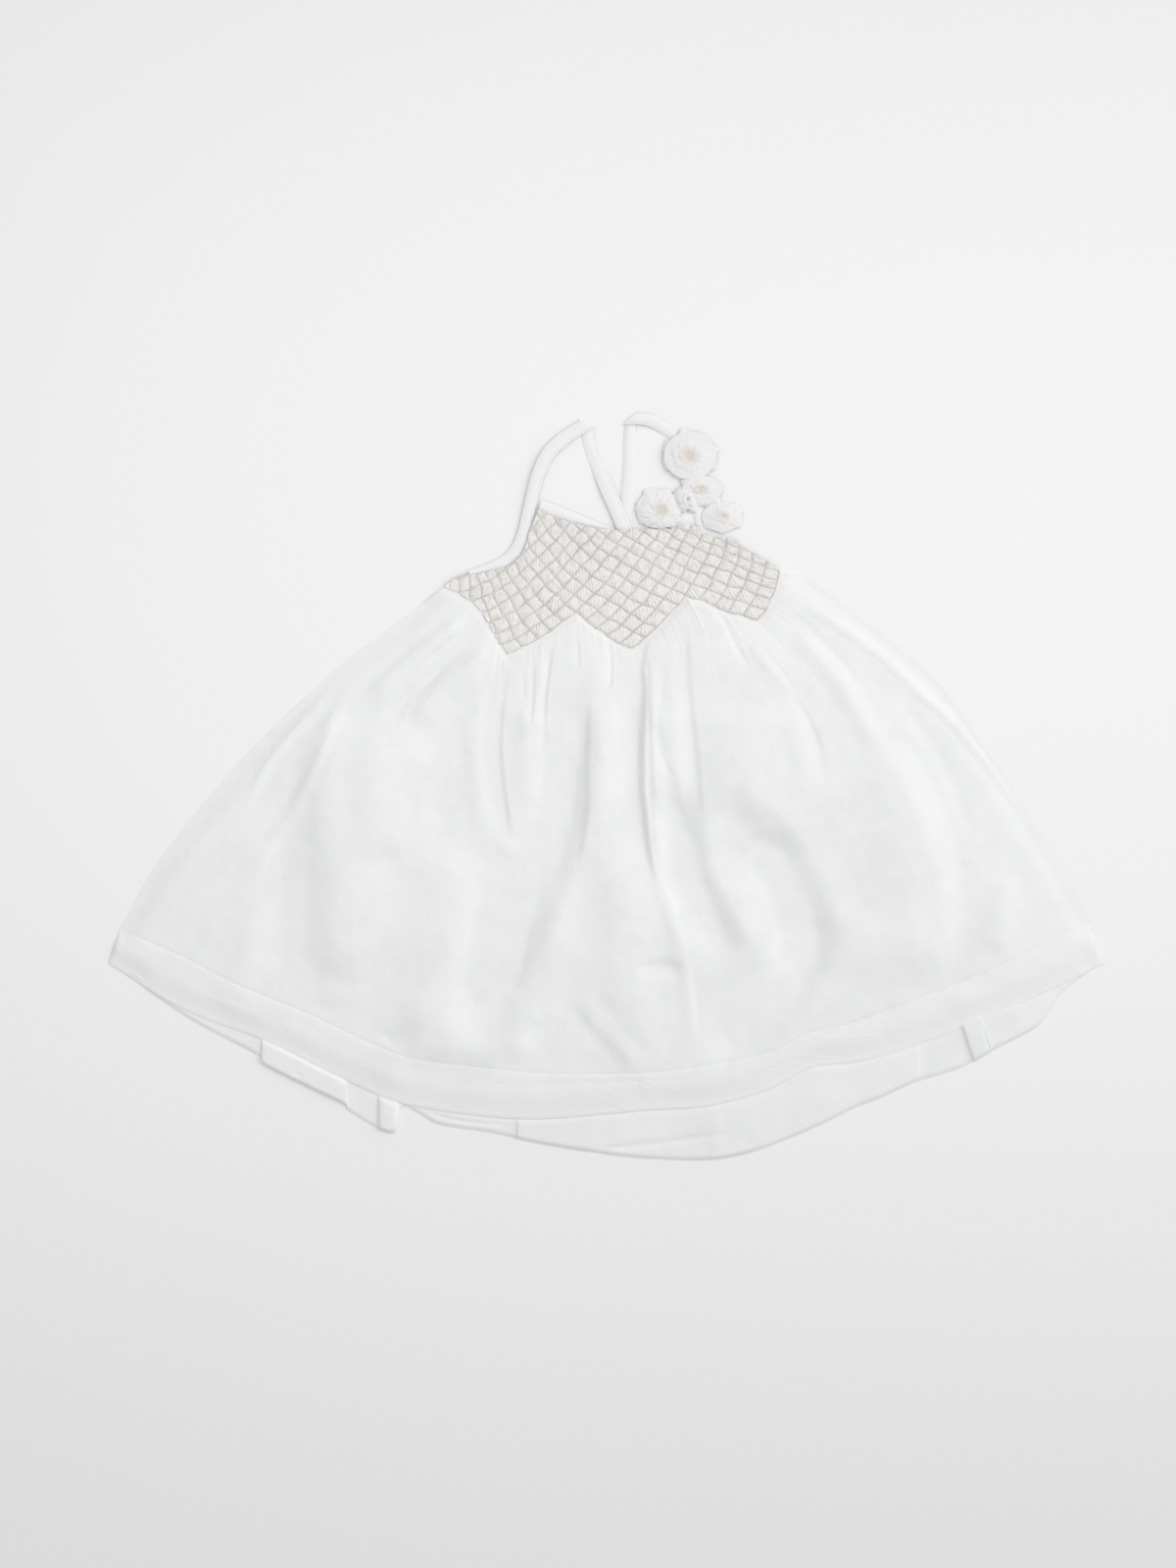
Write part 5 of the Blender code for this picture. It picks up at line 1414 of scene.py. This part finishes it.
def cotton_finish():
    """Thin cotton: a fine weave, slubs along its threads and soft streaks down its length."""
    finish = Finish("thin white cotton")
    uv = finish.uv()
    x, y, _ = finish.parts(finish.place())
    down = finish.noise(finish.stretched(uv, across=1.6, along=26.0))
    slub = down + 0.6 * finish.noise(finish.stretched(uv, across=14.0, along=1.4))
    streak = finish.noise(finish.stretched(uv, across=6.0, along=70.0))
    crinkle = finish.noise(uv, size=7.0, detail=3.0)
    tone = 0.55 * finish.noise(finish.place(), size=45.0) + 0.3 * finish.noise(finish.place(), size=11.0)
    tone = tone + 0.15 * streak
    single = finish.mix(tone.between(0.42, 0.68), WHITE, WHITE_SHADE)
    double = finish.make("ShaderNodeAttribute", {"attribute_name": "double"}, {}, "Fac")
    finish.give("Base Color", finish.mix(double, single, WHITE_DOUBLE))
    height = WEAVE_HEIGHT * weave(x, y, COTTON_THREAD) + 0.04 * slub + 0.30 * crinkle + 0.04 * streak
    bands = finish.noise(finish.stretched(uv, across=55.0, along=2.2))
    height = height + double * 0.35 * bands
    finish.raise_by(height)
    return finish.material


def smocked_finish():
    """Gathered cotton, with a beige tint and painted shade in the valleys where the thread pulls it down."""
    finish = Finish("smocked cotton")
    run, rank, _ = finish.parts(finish.uv())
    valley = (0.5 - (run.fraction() - 0.5).size()).least(0.5 - (rank.fraction() - 0.5).size())
    # painted shade: the cloth is coloured darker and creamier near the thread lines, where the valleys lie
    # in shade, as well as tinted beige
    near = 1 - valley.between(0.0, 0.16)
    x, y, _ = finish.parts(finish.place())
    tone = 0.3 * finish.noise(finish.place(), size=16.0) + 0.7 * near
    finish.give("Base Color", finish.mix(tone, CREAM, CREAM_TONE_AND_PAINTED_SHADE))
    bend = finish.noise(finish.place(), size=5.0)
    pleats = ((run + rank) * (2 * math.pi * FINE_PLEATS_PER_CELL) + 9.0 * bend).sine()
    depth = 0.32 * finish.noise(finish.place(), size=4.0).between(0.3, 0.7)
    finish.raise_by(WEAVE_HEIGHT * weave(x, y, COTTON_THREAD) + depth * pleats)
    return finish.material


def strip_finish():
    """Bias cotton: the weave runs slantwise, with small puckers."""
    finish = Finish("bias strip cotton")
    x, y, _ = finish.parts(finish.place())
    pucker = finish.noise(finish.stretched(finish.uv(), across=5.0, along=2.6))
    tone = finish.noise(finish.place(), size=20.0)
    finish.give("Base Color", finish.mix(tone.between(0.35, 0.7), WHITE_DOUBLE, WHITE))
    finish.raise_by(WEAVE_HEIGHT * weave(x + y, x - y, thread=1.3) + 0.2 * pucker)
    return finish.material


def petal_finish():
    """Petal cloth: crumpled fine cotton, beige and with painted shade towards the flower's hollow heart."""
    finish = Finish("petal cloth", 0.88, 0.15)
    reach = finish.parts(finish.uv())[0]
    # painted shade: the petals are coloured darker beige towards the hollow heart, for its shade as well as
    # its beige tint
    heart = 1 - reach.between(0.10, 0.50)
    x, y, _ = finish.parts(finish.place())
    finish.give("Base Color", finish.mix(heart, PETAL, HEART_TINT_AND_SHADE))
    pleats = finish.noise(finish.stretched(finish.uv(), across=0.6, along=0.07))
    crumple = finish.noise(finish.place(), size=2.4, detail=3.0)
    finish.raise_by(0.04 * weave(x, y, thread=0.8) + 0.25 * pleats + 0.22 * crumple)
    return finish.material


def thread_finish(name, pale, deep):
    """Twisted thread, with its strands slanting across it."""
    finish = Finish(name, 0.7, 0.1)
    spot = finish.place()
    x, y, z = finish.parts(spot)
    finish.give("Base Color", finish.mix(finish.noise(spot, size=3.0), pale, deep))
    finish.raise_by(0.06 * ((x + y + 2 * z) * 9.0).sine(), 0.6)
    return finish.material


def floor_finish():
    finish = Finish("pale table", 0.7, 0.0)
    tone = finish.noise(finish.place(), size=400.0)
    finish.give("Base Color", finish.mix(tone, TABLE_PALE, TABLE_DEEP))
    return finish.material


# Floor, light and camera, in metres

TABLE_SIZE = 8.0
TABLE_DROP = 0.0001  # the table's top lies this far below the part's underside
SKY = 0.55
PANEL_SIZE = (2.0, 1.0)
PANEL_ENERGY = 3.45
PANEL_PLACE = (0.30, 0.205, 0.6)
PANEL_WAY = (0, 0, -1)
WINDOW_ENERGY = 0.96
WINDOW_ANGLE = math.radians(50)
WINDOW_PLACE = (1.0, 0.5, 1.2)
WINDOW_WAY = (-0.85, -0.42, -0.62)
FIELD = 1.072  # height of the camera's view over the dress
LENS = 50.0
SENSOR = 36.0
CAMERA_PLACE = (-0.0117, 0.001, LENS / SENSOR * FIELD + 0.003)


def make_stage():
    bpy.ops.object.select_all(action="DESELECT")
    bpy.ops.mesh.primitive_plane_add(size=TABLE_SIZE, location=(0, 0, 0))
    floor = bpy.context.object
    floor.name = "table"
    floor.data.transform(Matrix.Translation((0, 0, -TABLE_DROP)))
    floor.data.materials.append(floor_finish())


def make_light(name, light, place, way):
    lamp = put_in_scene(name, light)
    lamp.location = place
    lamp.rotation_euler = Vector(way).to_track_quat("-Z", "Y").to_euler()


def make_studio():
    world = bpy.data.worlds.new("studio")
    bpy.context.scene.world = world
    world.use_nodes = True
    sky = world.node_tree.nodes["Background"].inputs
    sky["Color"].default_value = (1.0, 1.0, 1.0, 1.0)
    sky["Strength"].default_value = SKY
    panel_light = bpy.data.lights.new("overhead panel", "AREA")
    panel_light.shape = "RECTANGLE"
    panel_light.size, panel_light.size_y = PANEL_SIZE
    panel_light.energy = PANEL_ENERGY
    make_light("overhead panel", panel_light, PANEL_PLACE, PANEL_WAY)
    window = bpy.data.lights.new("window", "SUN")
    window.energy = WINDOW_ENERGY
    window.angle = WINDOW_ANGLE
    make_light("window", window, WINDOW_PLACE, WINDOW_WAY)
    bpy.context.scene.view_settings.view_transform = "Standard"
    bpy.context.scene.view_settings.look = "None"
    camera = bpy.data.cameras.new("camera")
    camera.lens = LENS
    camera.sensor_width = SENSOR
    view = put_in_scene("camera", camera)
    view.location = CAMERA_PLACE
    bpy.context.scene.camera = view


def main():
    make_studio()
    make_stage()
    cotton = cotton_finish()
    smocked = smocked_finish()
    bias = strip_finish()
    petals = petal_finish()
    thread = thread_finish("smocking thread", THREAD_PALE, THREAD_DEEP)
    sewing = thread_finish("white sewing thread", SEWING, WHITE_SHADE)
    place = smocking_map()

    back = make_back(cotton)
    skirt, hem_line = make_skirt(place, cotton)
    top = make_smocking(place, smocked)
    threads = make_threads(place, thread)
    binding, binding_lines = make_strip(
        "neck_strip", strip_frames(NECK_BINDING, BINDING_THICKNESS, turned=False), (1,), bias
    )
    left_frames = strap_frames(LEFT_STRAP_FRONT, LEFT_STRAP_FOLD, LEFT_STRAP_BACK)
    left_strap, left_lines = make_strip("strap_left", left_frames, (1,), bias)
    right_frames = strap_frames(RIGHT_STRAP_FRONT, RIGHT_STRAP_FOLD, RIGHT_STRAP_BACK)
    right_strap, right_lines = make_strip("strap_right", right_frames, (-1,), bias)
    stitch = make_stitch()
    hem_stitches = sew("hem_stitches", stitch, [hem_line], sewing)
    strap_stitches = sew("strap_stitches", stitch, left_lines + right_lines + binding_lines, sewing)
    bpy.data.objects.remove(stitch, do_unlink=True)
    flowers = [make_flower(flower, petals) for flower in FLOWERS]

    # Each with the solid it stands for, its slot, and its flat size and area in metres
    sheets = [
        (back, "back", "cotton", (0.68, 0.43), 0.2, ["table"], ()),
        (skirt, "front_skirt", "cotton", (0.68, 0.35), 0.17, [back], [hem_stitches]),
        (top, "front_smocking", "smocked_cotton", (0.23, 0.10), 0.016, [back], [threads]),
        (binding, "neck_binding", "bias_strip", (0.010, 0.052), None, [back], ()),
        (left_strap, "left_strap", "bias_strip", (0.010, 0.26), None, [back], [strap_stitches]),
        (right_strap, "right_strap", "bias_strip", (0.010, 0.20), None, [back], ()),
    ]
    sheets += [
        (piece, flower.name, "petal_cloth", petal_cut(flower), None, [right_strap], ())
        for piece, flower in zip(flowers, FLOWERS)
    ]
    for piece, node, slot, flat, area, rests_on, with_pieces in sheets:
        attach(piece, "root")
        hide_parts(node)
        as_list(rests_on)
        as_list(with_pieces)
    sewn_in = ((threads, "smocked_cotton"), (hem_stitches, "cotton"), (strap_stitches, "bias_strip"))
    for piece, slot in sewn_in:
        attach(piece, "root")


main()
